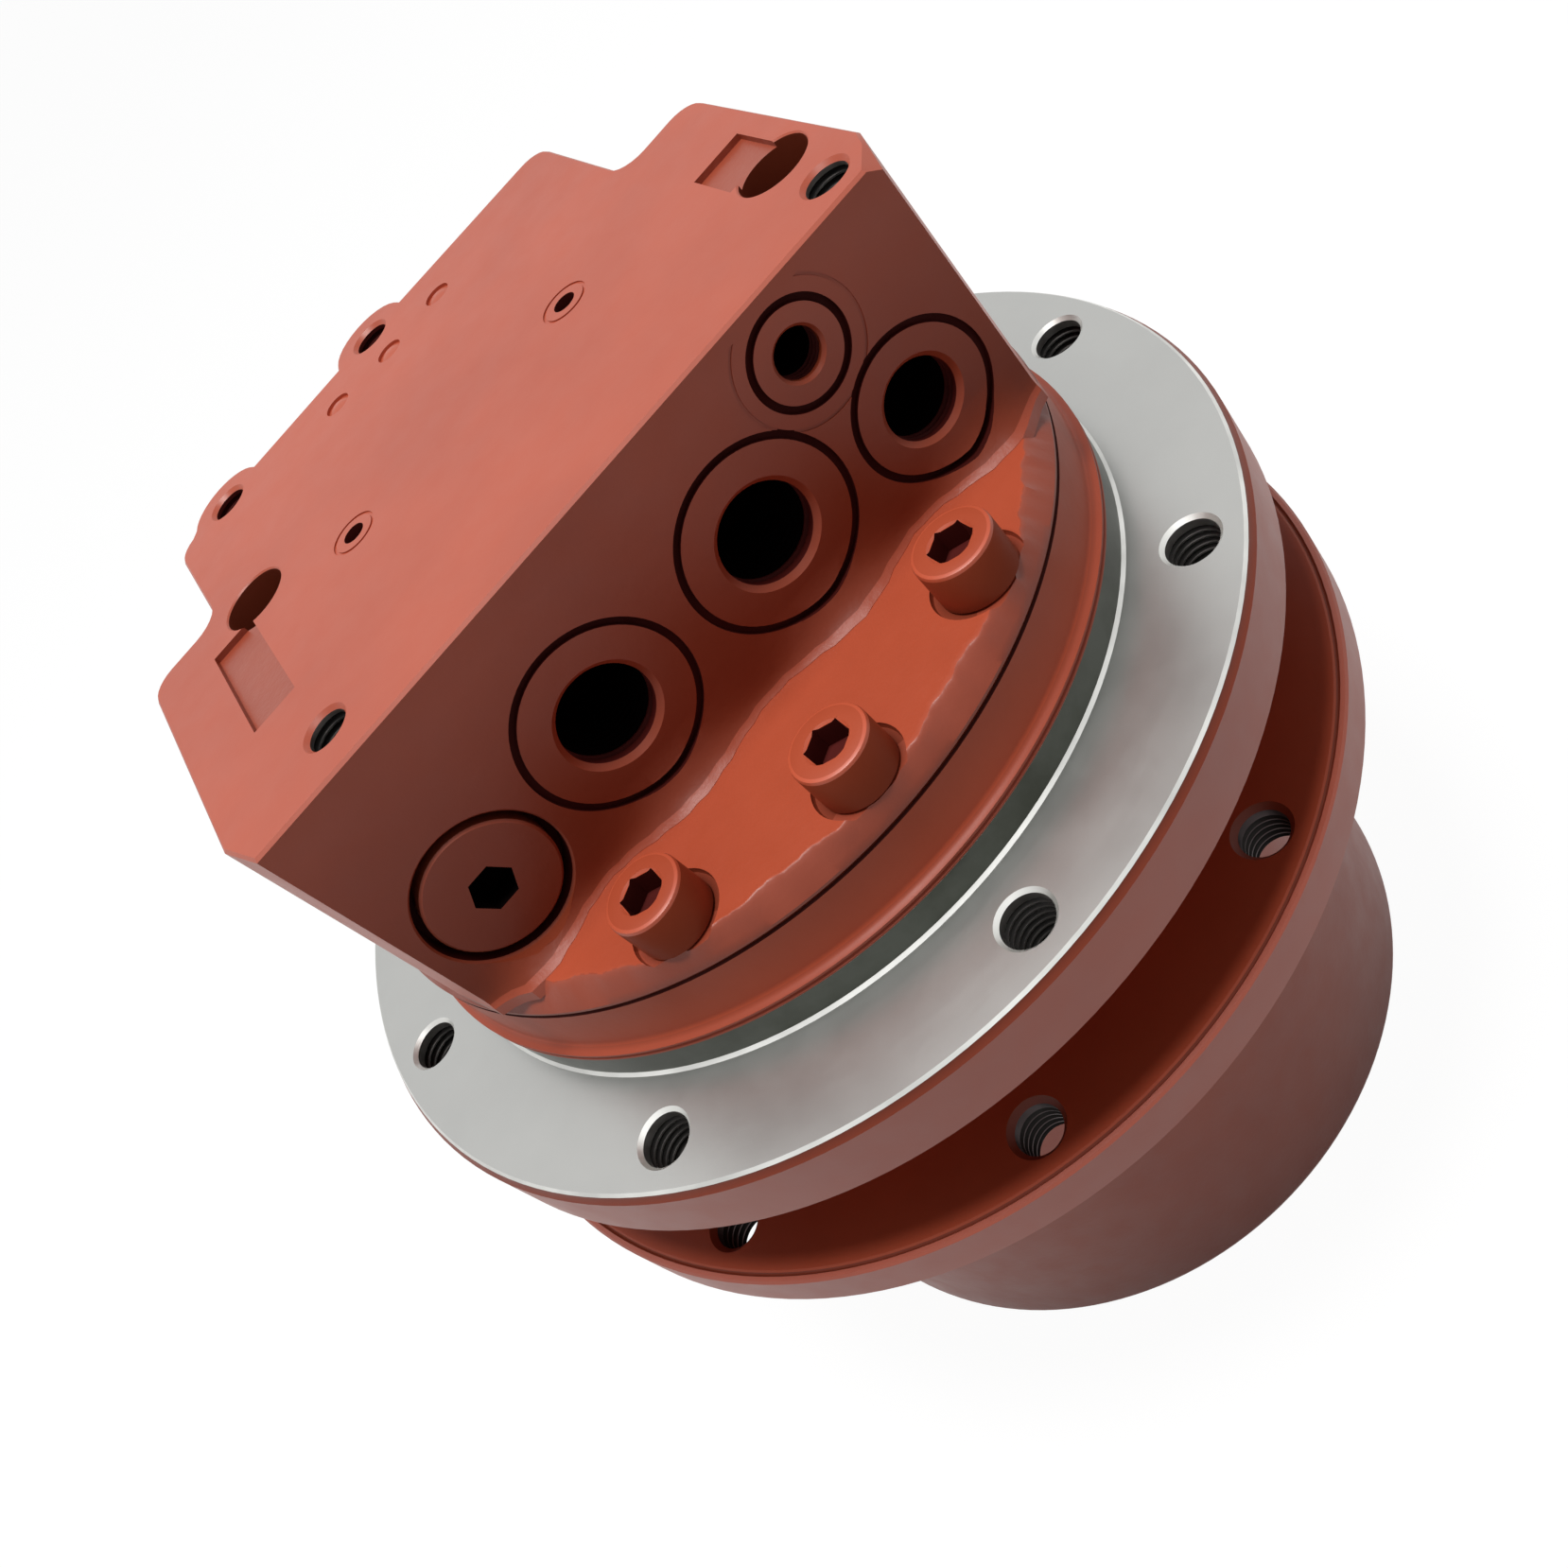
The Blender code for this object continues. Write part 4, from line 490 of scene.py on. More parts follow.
blockSpec = {
    "bottom": 0.1758,
    "ledge": 0.1818,
    "top": 0.2370,
    "frontY": -0.046,
    "halfWidth": 0.080,
    "chamferWide": 0.0045,
    "chamferDeep": 0.011,
    "cornerCut": {"at": (0.0765, -0.0435, 0.2353), "normal": (0.542, -0.437, 0.717), "half": 0.010,
                  "high": 0.012},
    "stepLeftY": 0.037,
    "stepRightY": 0.031,
    "rearHalf": 0.0605,
    "rearY": 0.079,
    "cornerR": 0.006,
    "bosses": ((0.004, 0.0795), (-0.0445, 0.0775)),
    "bossR": 0.0105,
    "footR": 0.0875,
    "footEdge": 0.0004,
    "lip": 0.0016,
    "lipBack": (0.0022, 0.0042),
    "edge": 0.0006,
    "skirt": 0.0052,
    "toe": 0.0011,
    "screwCircleR": 0.0787,
    "ledgeScrewAngles": (-60, -90, -120),
    "rearScrewAngles": (35, 145),
    "spotR": 0.0096,
    "spotDepth": 0.001,
    "topTaps": ((0.070, -0.037), (-0.0535, -0.033)),
    "topTapR": 0.0043,
    "topTapMouth": 0.0051,
    "topTapDepth": 0.018,
    "topPitch": 0.0015,
    "orifices": ((0.031, 0.010), (-0.028, 0.0125)),
    "orificeR": 0.0025,
    "orificeDepth": 0.006,
    "orificeRing": (0.0046, 0.0053),
    "orificeRingDepth": 0.0003,
    "marks": ((0.020, 0.065), (0.004, 0.064), (-0.012, 0.066)),
    "pilotOuterRing": 0.0130,
    "wells": ((0.0700, -0.0185), (-0.0515, 0.0285)),
    "wellR": 0.0075,
    "tags": ((0.0685, -0.0060, 0.0120, 0.0150), (-0.0595, 0.0047, 0.0108, 0.0364)),
    "tagDepth": 0.0013,
    "ports": (
        {"x": -0.021, "z": 0.2046, "bore": 0.0095, "mouth": 0.0106, "depth": 0.026,
         "ring": 0.0176, "pitch": 0.0018},
        {"x": 0.021, "z": 0.2046, "bore": 0.0095, "mouth": 0.0106, "depth": 0.026,
         "ring": 0.0176, "pitch": 0.0018},
        {"x": 0.0573, "z": 0.1990, "bore": 0.0076, "mouth": 0.0086, "depth": 0.016,
         "ring": 0.0142, "pitch": 0.0014},
        {"x": 0.0456, "z": 0.2236, "bore": 0.0046, "mouth": 0.0052, "depth": 0.017,
         "ring": 0.0094, "pitch": 0.0012},
    ),
    "plug": {"x": -0.0573, "z": 0.1990, "headR": 0.0133, "recessR": 0.0150, "head": 0.005, "threadR": 0.0100,
             "length": 0.014, "threadDepth": 0.017, "boreR": 0.0070, "boreDepth": 0.057, "socketR": 0.0048,
             "socket": 0.006},
    "spool": {"y": 0.006, "z": 0.220, "r": 0.0093, "capR": 0.0123, "capSeat": 0.063},
    "bearingR": 0.0143,
    "bearingTop": 0.191,
}


def blockOutline():
    b = blockSpec
    half, front, corner = b["halfWidth"], b["frontY"], b["cornerR"]
    rear, rearHalf = b["rearY"], b["rearHalf"]
    cut, deep = b["chamferWide"], b["chamferDeep"]
    points = [(half - cut, front), (half, front + deep)]
    points += arc((half - corner, b["stepRightY"] - corner), corner, 0, 90, 6)
    points += arc((rearHalf + corner, b["stepRightY"] + corner), corner, 270, 180, 6)
    points += arc((rearHalf - corner, rear - corner), corner, 0, 90, 6)
    for x, y in b["bosses"]:
        start = math.degrees(math.asin((rear - y) / b["bossR"])) + 8
        points += arc((x, y), b["bossR"], start, 180 - start, 14)
    points += arc((-rearHalf + corner, rear - corner), corner, 90, 180, 6)[1:]
    points += arc((-rearHalf - corner, b["stepLeftY"] + corner), corner, 360, 270, 6)
    points += arc((-half + corner, b["stepLeftY"] - corner), corner, 90, 180, 6)
    points += [(-half, front + deep), (-half + cut, front)]
    span = 2 * (half - cut)
    points += [(-half + cut + span * k / 60, front) for k in range(1, 60)]
    return points


# how far the cast foot of the front wall stands out: most under the ports, little at the screws
def skirtReach(x):
    b = blockSpec
    fade = min(1.0, max(0.0, (b["halfWidth"] - b["chamferWide"] - abs(x)) / 0.008))
    wave = 0.5 - 0.5 * math.cos(2 * math.pi * x / 0.042)
    ragged = (0.00028 * math.sin(x * 900) + 0.00020 * math.sin(x * 2300 + 1)
              + 0.00012 * math.sin(x * 5200 + 2))
    return (b["skirt"] * (0.06 + 0.94 * wave) + ragged) * fade


# the block's body, its front wall flaring into the ledge along a wavy line
def bodyWithFoot():
    b = blockSpec
    # height over the ledge, share of the flare, share of the fillet's toe
    foot = [(-0.0020, 1.06, 1.3), (0.0001, 1.0, 1.0), (0.0005, 0.92, 0.66), (0.0011, 0.80, 0.34),
            (0.0019, 0.64, 0.12), (0.0030, 0.45, 0.0), (0.0045, 0.25, 0.0), (0.0066, 0.08, 0.0),
            (0.0095, 0.0, 0.0)]
    levels = [b["ledge"] + rise for rise, share, toe in foot] + [b["ledge"] + 0.0105, b["top"]]
    bm = raisedOutline(blockOutline(), levels)
    for vert in bm.verts:
        if abs(vert.co.y - b["frontY"]) < 1e-6:
            for rise, share, toe in foot:
                if abs(vert.co.z - b["ledge"] - rise) < 1e-6:
                    vert.co.y -= share * skirtReach(vert.co.x) + toe * b["toe"]
    rim = [edge for edge in bm.edges if all(vert.co.z > b["top"] - 1e-6 for vert in edge.verts)]
    bmesh.ops.bevel(bm, geom=rim, offset=b["edge"], segments=1, profile=0.5, affect="EDGES", material=-1)
    return bm


# how far the ledge's lip draws back from the foot's wall: least beside the screws
def lipBack(angle):
    b = blockSpec
    least, most = b["lipBack"]
    nearest = min(abs((angle - a + 180) % 360 - 180) for a in b["ledgeScrewAngles"])
    away = min(nearest / 15, 1.0)
    ragged = (0.00035 * math.sin(angle * 0.9) + 0.00022 * math.sin(angle * 2.3 + 1)
              + 0.00014 * math.sin(angle * 6.1))
    return least + (most - least) * (0.5 - 0.5 * math.cos(math.pi * away)) + ragged


# foot of the block: a turned disc whose cast top edge wanders in and out
def footDisc():
    b = blockSpec
    r, ledge, lip = b["footR"], b["ledge"], b["lip"]
    steps = 480
    bm = bmesh.new()
    rings = []
    for k in range(steps):
        angle = 360 * k / steps
        back = lipBack(angle)
        rise = 0.00018 * math.sin(angle * 3.7) + 0.00014 * math.sin(angle * 8.3 + 2)
        start, end = Vector((r - back, ledge)), Vector((r, ledge - lip - 0.0034))
        corner = start + Vector((0.3 * lip, rise))
        low = corner.lerp(end, 0.2)
        curve = [start * (1 - t) ** 2 + 2 * corner * t * (1 - t) + low * t * t for t in (0, 0.15, 0.35, 0.6, 1)]
        curve += [low.lerp(end, t) for t in (0.35, 0.7, 1)]
        profile = [(r - back - 0.0012, ledge)] + [tuple(point) for point in curve] + [
            (r, b["bottom"] + b["footEdge"]), (r - b["footEdge"], b["bottom"])]
        rings.append([bm.verts.new((*polar(radius, angle), z)) for radius, z in profile])
    for first, second in zip(rings, rings[1:] + rings[:1]):
        for k in range(len(first) - 1):
            bm.faces.new((first[k], first[k + 1], second[k + 1], second[k]))
    bm.faces.new([ring[0] for ring in rings])
    bm.faces.new([ring[-1] for ring in rings])
    bmesh.ops.recalc_face_normals(bm, faces=bm.faces)
    return bm


def faceCutter(spec, profile, steps):
    return lathe(profile, steps, "-Y", (spec["x"], blockSpec["frontY"], spec["z"]))


def ringGroove(port, width=0.0015, depth=0.0010):
    inner, outer = port["ring"] - width / 2, port["ring"] + width / 2
    return faceCutter(port, [(inner, -depth), (outer, -depth), (outer, proud), (inner, proud)], 72)


def screwSpots():
    b = blockSpec
    return [polar(b["screwCircleR"], a) for a in b["ledgeScrewAngles"] + b["rearScrewAngles"]]


# upright round cutters, one at each place
def dropped(radius, low, high, steps, places):
    return together([lathe([(0, low), (radius, low), (radius, high), (0, high)], steps, "Z", (x, y, 0))
                     for x, y in places])


# ports, their sealing grooves and the plug's recess
def carveFrontFace(block):
    b = blockSpec
    for port in b["ports"]:
        carve(block, threadedHole(port["bore"], port["mouth"], port["depth"], port["pitch"], 56, "-Y",
                                  (port["x"], b["frontY"], port["z"]), tip=0.003))
    carve(block, together([ringGroove(port) for port in b["ports"]]))
    outerRing = ringGroove(dict(b["ports"][3], ring=b["pilotOuterRing"]), 0.0006, 0.0002)
    cut = bmesh.ops.bisect_plane(outerRing, geom=outerRing.verts[:] + outerRing.edges[:] + outerRing.faces[:],
                                 plane_co=(0, 0, b["top"] - 0.0030), plane_no=(0, 0, 1), clear_outer=True)
    bmesh.ops.holes_fill(outerRing, edges=[e for e in cut["geom_cut"] if isinstance(e, bmesh.types.BMEdge)])
    bmesh.ops.recalc_face_normals(outerRing, faces=outerRing.faces)
    carve(block, outerRing)
    plug = b["plug"]
    end, seat, edge = -plug["threadDepth"], -plug["head"] - gap, 0.0004
    threadR, recessR = plug["threadR"] + gap, plug["recessR"]
    carve(block, faceCutter(plug, [
        (0, -plug["boreDepth"]), (plug["boreR"], -plug["boreDepth"]), (plug["boreR"], end), (threadR, end),
        (threadR, seat), (recessR, seat), (recessR, -edge), (recessR + edge, 0), (recessR + edge, proud),
        (0, proud)], 72))


# the spool's bore across the block, and the rear shaft bearing's bore from below
def carveInnerBores(block):
    b = blockSpec
    s = b["spool"]
    end = b["halfWidth"] + proud
    carve(block, lathe([(0, -end), (s["capR"], -end), (s["capR"], -s["capSeat"]), (s["r"], -s["capSeat"]),
                        (s["r"], s["capSeat"]), (s["capR"], s["capSeat"]), (s["capR"], end), (0, end)],
                       64, "X", (0, s["y"], s["z"])))
    carve(block, dropped(b["bearingR"], b["bottom"] - proud, b["bearingTop"], 48, [(0, 0)]))


# threads, orifices, painted-over marks and recesses of the top face
def carveTop(block):
    b = blockSpec
    top = b["top"]
    for x, y in b["topTaps"] + b["bosses"]:
        carve(block, threadedHole(b["topTapR"], b["topTapMouth"], b["topTapDepth"], b["topPitch"], 40, "Z",
                                  (x, y, top), tip=0.002))
    inner, outer = b["orificeRing"]
    deep = -b["orificeRingDepth"]
    for x, y in b["orifices"]:
        carve(block, dropped(b["orificeR"], top - b["orificeDepth"], top + proud, 28, [(x, y)]))
        carve(block, lathe([(inner, deep), (outer, deep), (outer, proud), (inner, proud)], 40, "Z", (x, y, top)))
    mark = [(0, 0.0004), (0.0022, -0.0004), (0.0032, -0.0007), (0.0033, proud), (0, proud)]
    for x, y in b["marks"]:
        carve(block, lathe(mark, 32, "Z", (x, y, top)))
    for x, y, w, d in b["tags"]:
        carve(block, brick((x - w / 2, y - d / 2, top - b["tagDepth"]), (x + w / 2, y + d / 2, top + proud)))


# a small slanting facet that the casting has at its right front corner
def carveCorner(block):
    cut = blockSpec["cornerCut"]
    half = cut["half"]
    bm = brick((-half, -half, 0), (half, half, cut["high"]))
    turn = Vector(cut["normal"]).to_track_quat("Z", "Y").to_matrix()
    bmesh.ops.rotate(bm, verts=bm.verts, cent=(0, 0, 0), matrix=turn)
    bmesh.ops.translate(bm, verts=bm.verts, vec=cut["at"])
    carve(block, bm)


# screw holes, spot faces on the ledge and the two deep wells
def carveScrewRoom(block):
    b = blockSpec
    top, seat, spotR, wellR = b["top"], b["ledge"] - b["spotDepth"], b["spotR"], b["wellR"]
    for screw, places in ((ledgeScrew, screwSpots()), (wellScrew, b["wells"])):
        carve(block, dropped(screw["holeR"], b["bottom"] - proud, top - 0.02, 28, places))
    end = top - 0.016
    spot = [(0, seat), (spotR - 0.0003, seat), (spotR, seat + 0.0006), (spotR, end), (0, end)]
    carve(block, together([lathe(spot, 48, "Z", (x, y, 0)) for x, y in screwSpots()]))
    for x, y in b["wells"]:
        carve(block, lathe([(0, seat), (wellR, seat), (wellR, top - 0.0003), (wellR + 0.0003, top),
                            (wellR + 0.0003, top + proud), (0, top + proud)], 64, "Z", (x, y, 0)))


blockFinishes = [machinedPaint, ledgePaint, grooveShade, boreShade, castPaint, frontShadePaint, boreDeepShade, threadSteel,
                 threadShade, tagPaint, shadePaint, toeShadePaint, footShadePaint, litChamferPaint, seamPaint, portRimShade]


def blockFinish(c, n):
    b = blockSpec
    front, top, ledge = b["frontY"], b["top"], b["ledge"]
    depth, out = c.y - front, math.hypot(c.x, c.y)
    if c.z < b["bottom"] + b["footEdge"] and out > b["footR"] - 0.0006:
        return seamPaint
    # the foot's side and the ledge's lip: painted shade
    if c.z < ledge - slack and out > b["footR"] - 0.0064 and n.z > -0.5:
        return footShadePaint
    for port in b["ports"]:
        away = math.hypot(c.x - port["x"], c.z - port["z"])
        # inside a port: painted shade, dark red near the mouth and near black deeper
        if away < port["bore"] + 0.0012 and 0.0012 < depth < port["depth"] + 0.004:
            return boreShade if depth < 0.0048 else boreDeepShade
        # sealing grooves round the ports: painted shade
        inGroove = slack < depth < 0.0014 or -0.006 < depth < 0.0014 and n.y > -0.3
        if inGroove and abs(away - port["ring"]) < 0.0008:
            return grooveShade
        # mouth chamfers of the ports: painted shade
        if away < port["mouth"] + slack and slack < depth < 0.0012:
            return portRimShade
    # the plug's recess and bore: painted shade
    plug = b["plug"]
    away = math.hypot(c.x - plug["x"], c.z - plug["z"])
    if away < plug["recessR"] + 2 * slack and 0.0003 < depth < plug["boreDepth"] + 0.009:
        return grooveShade
    # tapped holes on top: bright crests with painted shade between; the bosses' holes all painted shade
    for x, y in b["topTaps"] + b["bosses"]:
        away = math.hypot(c.x - x, c.y - y)
        inTap = top - b["topTapDepth"] - 0.004 < c.z < top - slack - b["topTapMouth"] + b["topTapR"]
        if inTap and away < b["topTapMouth"]:
            return boreShade if (x, y) in b["bosses"] else threadPart(away, b["topTapR"], b["topPitch"])
    # walls of the deep wells and the screws' spot faces: painted shade
    for x, y in b["wells"]:
        if math.hypot(c.x - x, c.y - y) < b["wellR"] + slack and c.z < top - 0.0004:
            return shadePaint
    for x, y in screwSpots():
        if math.hypot(c.x - x, c.y - y) < b["spotR"] + slack and ledge - 0.0015 < c.z < ledge - slack:
            return shadePaint
    # the orifices: painted shade
    for x, y in b["orifices"]:
        if math.hypot(c.x - x, c.y - y) < b["orificeR"] + slack and c.z < top - 2 * slack:
            return boreShade
    for x, y, w, d in b["tags"]:
        inside = abs(c.x - x) < w / 2 + 1e-5 and abs(c.y - y) < d / 2 + 1e-5
        if inside and top - b["tagDepth"] - 0.0003 < c.z < top - 2 * slack:
            return tagPaint
    if c.y < front + 0.002 and abs(c.z - ledge) < 0.0003 and n.z > 0.9:
        return ledgePaint
    # the fillet's toe: painted shade
    if depth < -slack and ledge - 2 * slack < c.z < ledge + 0.0014:
        return toeShadePaint
    # the front wall takes the darker copy of the primer, painted shade
    if depth < 2 * slack and ledge < c.z < top - 0.0009:
        return frontShadePaint
    # front corner chamfers: painted light
    if depth < b["chamferDeep"] and n.y < -0.2 and ledge < c.z < top - 0.0009:
        return litChamferPaint
    return castPaint if n.z < 0.5 and c.z < top - 0.0012 else machinedPaint


def buildPortBlock():
    block = meshObject("portBlock", footDisc())
    carve(block, bodyWithFoot(), "UNION")
    carveTop(block)
    carveFrontFace(block)
    carveInnerBores(block)
    carveScrewRoom(block)
    carveCorner(block)
    finishPiece(block, "frame_side", ["port_block"], blockFinishes, blockFinish)


# screws and plugs

ledgeScrew = {"headR": 0.008, "head": 0.010, "shankR": 0.005, "grip": 0.021, "socketR": 0.0046, "socket": 0.005,
              "bevel": 0.0008, "holeR": 0.0056, "tapR": 0.0053, "tapEnd": 0.1578}
wellScrew = {"headR": 0.0065, "head": 0.008, "shankR": 0.004, "grip": 0.018, "socketR": 0.0035, "socket": 0.005,
             "bevel": 0.0007, "holeR": 0.0046, "tapR": 0.0043, "tapEnd": 0.1608}
capSpec = {"r": 0.012, "inner": 0.064, "outer": 0.0795, "edge": 0.0005, "socketR": 0.0048, "socket": 0.006}
screwFinishes = [screwPaint, boreShade, screwSideShade, screwRimHighlight]


def hexPocket(radius, low, high, axis, at):
    return lathe([(0, low), (radius, low), (radius, high), (0, high)], 6, axis, at)


def buildScrews():
    seat = blockSpec["ledge"] - blockSpec["spotDepth"] + gap
    spots = screwSpots()
    for number, (x, y) in enumerate(spots + list(blockSpec["wells"]), 1):
        s = ledgeScrew if number <= len(spots) else wellScrew
        r, top = s["headR"], s["head"]
        profile = [(0, -s["grip"]), (s["shankR"], -s["grip"]), (s["shankR"], 0), (r - 0.0003, 0), (r, 0.0003),
                   (r, top - s["bevel"]), (r - 0.3 * s["bevel"], top - 0.3 * s["bevel"]), (r - s["bevel"], top),
                   (0, top)]
        screw = meshObject("blockScrew%d" % number, lathe(profile, 64, "Z", (x, y, seat)))
        hexCutter = hexPocket(s["socketR"], top - s["socket"], top + 0.002, "Z", (x, y, seat))
        turn = Matrix.Rotation(math.pi / 6, 3, "Z")
        bmesh.ops.rotate(hexCutter, verts=hexCutter.verts, cent=(x, y, 0), matrix=turn)
        carve(screw, hexCutter)
        low, wide = s["socketR"] - 0.0004, s["socketR"] + 0.0003
        carve(screw, lathe([(0, top - 0.0004), (low, top - 0.0004), (wide, top + 0.0003), (0, top + 0.0003)],
                           40, "Z", (x, y, seat)))

        def choose(c, n):
            # the hex socket: painted shade
            inSocket = math.hypot(c.x - x, c.y - y) < s["socketR"] and c.z < seat + top - 0.0006
            if inSocket and c.z > seat:
                return boreShade
            # sides of the head: painted shade
            if abs(n.z) < 0.3 and c.z < seat + top - s["bevel"]:
                return screwSideShade
            # the head's rounded rim: painted highlight
            return screwRimHighlight if 0.3 < n.z < 0.97 and c.z > seat + top - s["bevel"] else screwPaint

        finishPiece(screw, "frame_side", ["block_screw_%d" % number], screwFinishes, choose)


def buildPlugs():
    p, front = blockSpec["plug"], blockSpec["frontY"]
    at = (p["x"], front, p["z"])
    plug = meshObject("speedSpoolPlug", lathe(
        [(0, -p["length"]), (p["threadR"], -p["length"]), (p["threadR"], -p["head"]), (p["headR"], -p["head"]),
         (p["headR"], -0.0005), (p["headR"] - 0.0005, 0), (0, 0)], 72, "-Y", at))
    carve(plug, hexPocket(p["socketR"], -p["socket"], 0.002, "-Y", at))

    # the plug's head takes the front wall's painted shade, its hex socket a near black painted shade
    def choose(c, n):
        inHex = math.hypot(c.x - at[0], c.z - at[2]) < p["socketR"] + slack
        return boreDeepShade if inHex and front + 2 * slack < c.y < front + p["socket"] + 0.001 else frontShadePaint

    finishPiece(plug, "frame_side", ["speed_spool_plug"], [frontShadePaint, boreDeepShade], choose)
    at = (0, blockSpec["spool"]["y"], blockSpec["spool"]["z"])
    r, e = capSpec["r"], capSpec["edge"]
    for side, name, node in ((-1, "spoolCapLeft", "spool_cap_left"), (1, "spoolCapRight", "spool_cap_right")):
        outer = side * capSpec["outer"]
        low, high = sorted((side * capSpec["inner"], outer))
        profile = [(0, low), (r - e, low), (r, low + e), (r, high - e), (r - e, high), (0, high)]
        cap = meshObject(name, lathe(profile, 64, "X", at))
        low, high = sorted((outer - side * capSpec["socket"], outer + side * 0.002))
        carve(cap, hexPocket(capSpec["socketR"], low, high, "X", at))
        finishPiece(cap, "frame_side", [node], [machinedPaint])


# motor case

caseSpec = {
    "faceZ": 0.153,
    "flangeR": 0.114,
    "flangeLow": 0.136,
    "bareR": 0.1131,
    "spigotTop": 0.1605,
    "spigotR": 0.0891,
    "bandR": 0.0895,
    "caseR": 0.0875,
    "top": 0.1755,
    "boltR": 0.1025,
    "boltPhase": 0,
    "boltCount": 8,
    "tapR": 0.0054,
    "tapMouth": 0.0062,
    "tapDepth": 0.0148,
    "tapPitch": 0.00175,
    "railX": 0.03075,
    "railHalfWidth": 0.00575,
    "rockerR": 0.0243,
    "rockerZ": 0.1065,
    "rockerHalfLength": 0.0385,
}


def buildCase():
    c = caseSpec
    face, low = c["faceZ"], c["flangeLow"]
    caseR, bandR, spigotR = c["caseR"], c["bandR"], c["spigotR"]
    bareR, flangeR = c["bareR"], c["flangeR"]
    # wall, turned band with its groove, spigot, bare flange and its rim, from the top down
    outside = [
        (caseR - 0.0004, c["top"]), (caseR, c["top"] - 0.0004), (caseR, 0.1640), (caseR + 0.0004, 0.1632),
        (caseR + 0.0012, 0.1627), (0.0890, 0.1626), (bandR, 0.1623), (bandR, 0.1618), (spigotR, 0.1614),
        (spigotR, 0.1612), (bandR, 0.1609), (bandR, 0.1605), (spigotR, 0.1600), (spigotR, face + 0.0006),
        (0.0898, face), (bareR - 0.0006, face), (bareR, face - 0.0006), (bareR + 0.0001, face - 0.0012),
        (flangeR, face - 0.0022), (flangeR, low + 0.0012), (flangeR - 0.0012, low),
    ]
    # groove of the face seal, bearing seats, end of the spindle, then the bores for shaft, barrel and brake
    inside = [
        (0.0828, 0.136), (0.0828, 0.126), (0.080, 0.126), (0.080, 0.136), (0.066, 0.136), (0.066, 0.1073),
        (0.060, 0.1073), (0.060, 0.060), (0.0203, 0.060), (0.0203, 0.066), (0.0145, 0.066), (0.0145, 0.0687),
        (0.0238, 0.0687), (0.0238, 0.081), (0.046, 0.081), (0.046, 0.1397), (0.050, 0.1397), (0.050, c["top"]),
    ]
    case = meshObject("motorCase", lathe(outside + inside, 160))
    # rails that the swash plate rocks in
    railX, half, r, end = c["railX"], c["railHalfWidth"], c["rockerR"], c["rockerHalfLength"]
    rails = [brick((x - half, -0.014, 0.079), (x + half, 0.014, 0.0915)) for x in (-railX, railX)]
    carve(case, together(rails), "UNION")
    carve(case, lathe([(0, -end), (r, -end), (r, end), (0, end)], 64, "X", (0, 0, c["rockerZ"])))
    for x, y in boltSpots(c):
        carve(case, threadedHole(c["tapR"], c["tapMouth"], c["tapDepth"], c["tapPitch"], 48, "Z",
                                 (x, y, face)))
    for screw, places in ((ledgeScrew, screwSpots()), (wellScrew, blockSpec["wells"])):
        carve(case, dropped(screw["tapR"], screw["tapEnd"], c["top"] + 0.002, 24, places))
    # seats of the three fixed planet pins, and the two-speed piston's bore
    pinSeats = dropped(0.0075, 0.058, 0.0735, 24, [polar(0.0495, 90 + 120 * k) for k in range(3)])
    carve(case, together([pinSeats, dropped(0.0063, 0.0705, 0.083, 24, [(0, 0.033)])]))
    finishPiece(case, "frame_side", ["motor_case"], caseFinishes, caseFinish)


caseFinishes = [machinedPaint, barePlate, spigotShadeSteel, threadSteel, threadShade, chamferHighlight, shadePaint,
                hardSteel, seamPaint, rimPaint, sidePaint, bandPaint]


def caseFinish(p, n):
    c = caseSpec
    face, r = c["faceZ"], math.hypot(p.x, p.y)
    for x, y in boltSpots(c):
        away = math.hypot(p.x - x, p.y - y)
        if away < c["tapMouth"] + slack and face - c["tapDepth"] - slack < p.z < face - slack:
            # mouth chamfers of the tapped holes: painted highlight
            if p.z > face - c["tapMouth"] + c["tapR"]:
                return chamferHighlight
            return threadPart(away, c["tapR"], c["tapPitch"])
    if p.z > c["top"] - 0.0005 and r > c["caseR"] - 0.0006:
        return seamPaint
    # spigot: darkened steel, painted shade and reflection, with a painted highlight on its upward chamfer
    if c["spigotR"] - 0.0006 < r < c["spigotR"] + 0.0026 and face + slack < p.z < c["spigotTop"] - 2 * slack:
        return chamferHighlight if n.z > 0.25 else spigotShadeSteel
    # the outer chamfer of the bare face: painted highlight
    if abs(r - c["bareR"] + 0.0003) < 0.0004 and face - 0.0007 < p.z < face - slack:
        return chamferHighlight
    # the chamfer between the bare face and the painted rim: painted shade
    if r > c["bareR"] - 2 * slack and face - 0.0023 < p.z < face - 0.0006:
        return shadePaint
    if c["spigotR"] - 2 * slack < r < c["bareR"] + 2 * slack and abs(p.z - face) < 0.0003:
        return barePlate
    if r < 0.0665 and p.z < c["top"] - slack:
        return hardSteel
    if c["caseR"] + 2 * slack < r < c["bandR"] + 2 * slack and 0.1601 < p.z < 0.1632:
        return bandPaint
    if r > c["bareR"] - 2 * slack:
        return rimPaint
    return sidePaint if p.z > c["spigotTop"] and r > c["caseR"] - 0.001 else machinedPaint


# hub and its end cover

hubSpec = {
    "r": 0.089,
    "endEdge": 0.003,
    "fillet": 0.003,
    "flangeR": 0.115,
    "flangeLow": 0.097,
    "flangeTop": 0.1085,
    "neckR": 0.090,
    "neckTop": 0.133,
    "boltR": 0.1030,
    "boltPhase": 15,
    "boltCount": 9,
    "tapR": 0.0052,
    "tapMouth": 0.0064,
    "tapPitch": 0.00175,
}


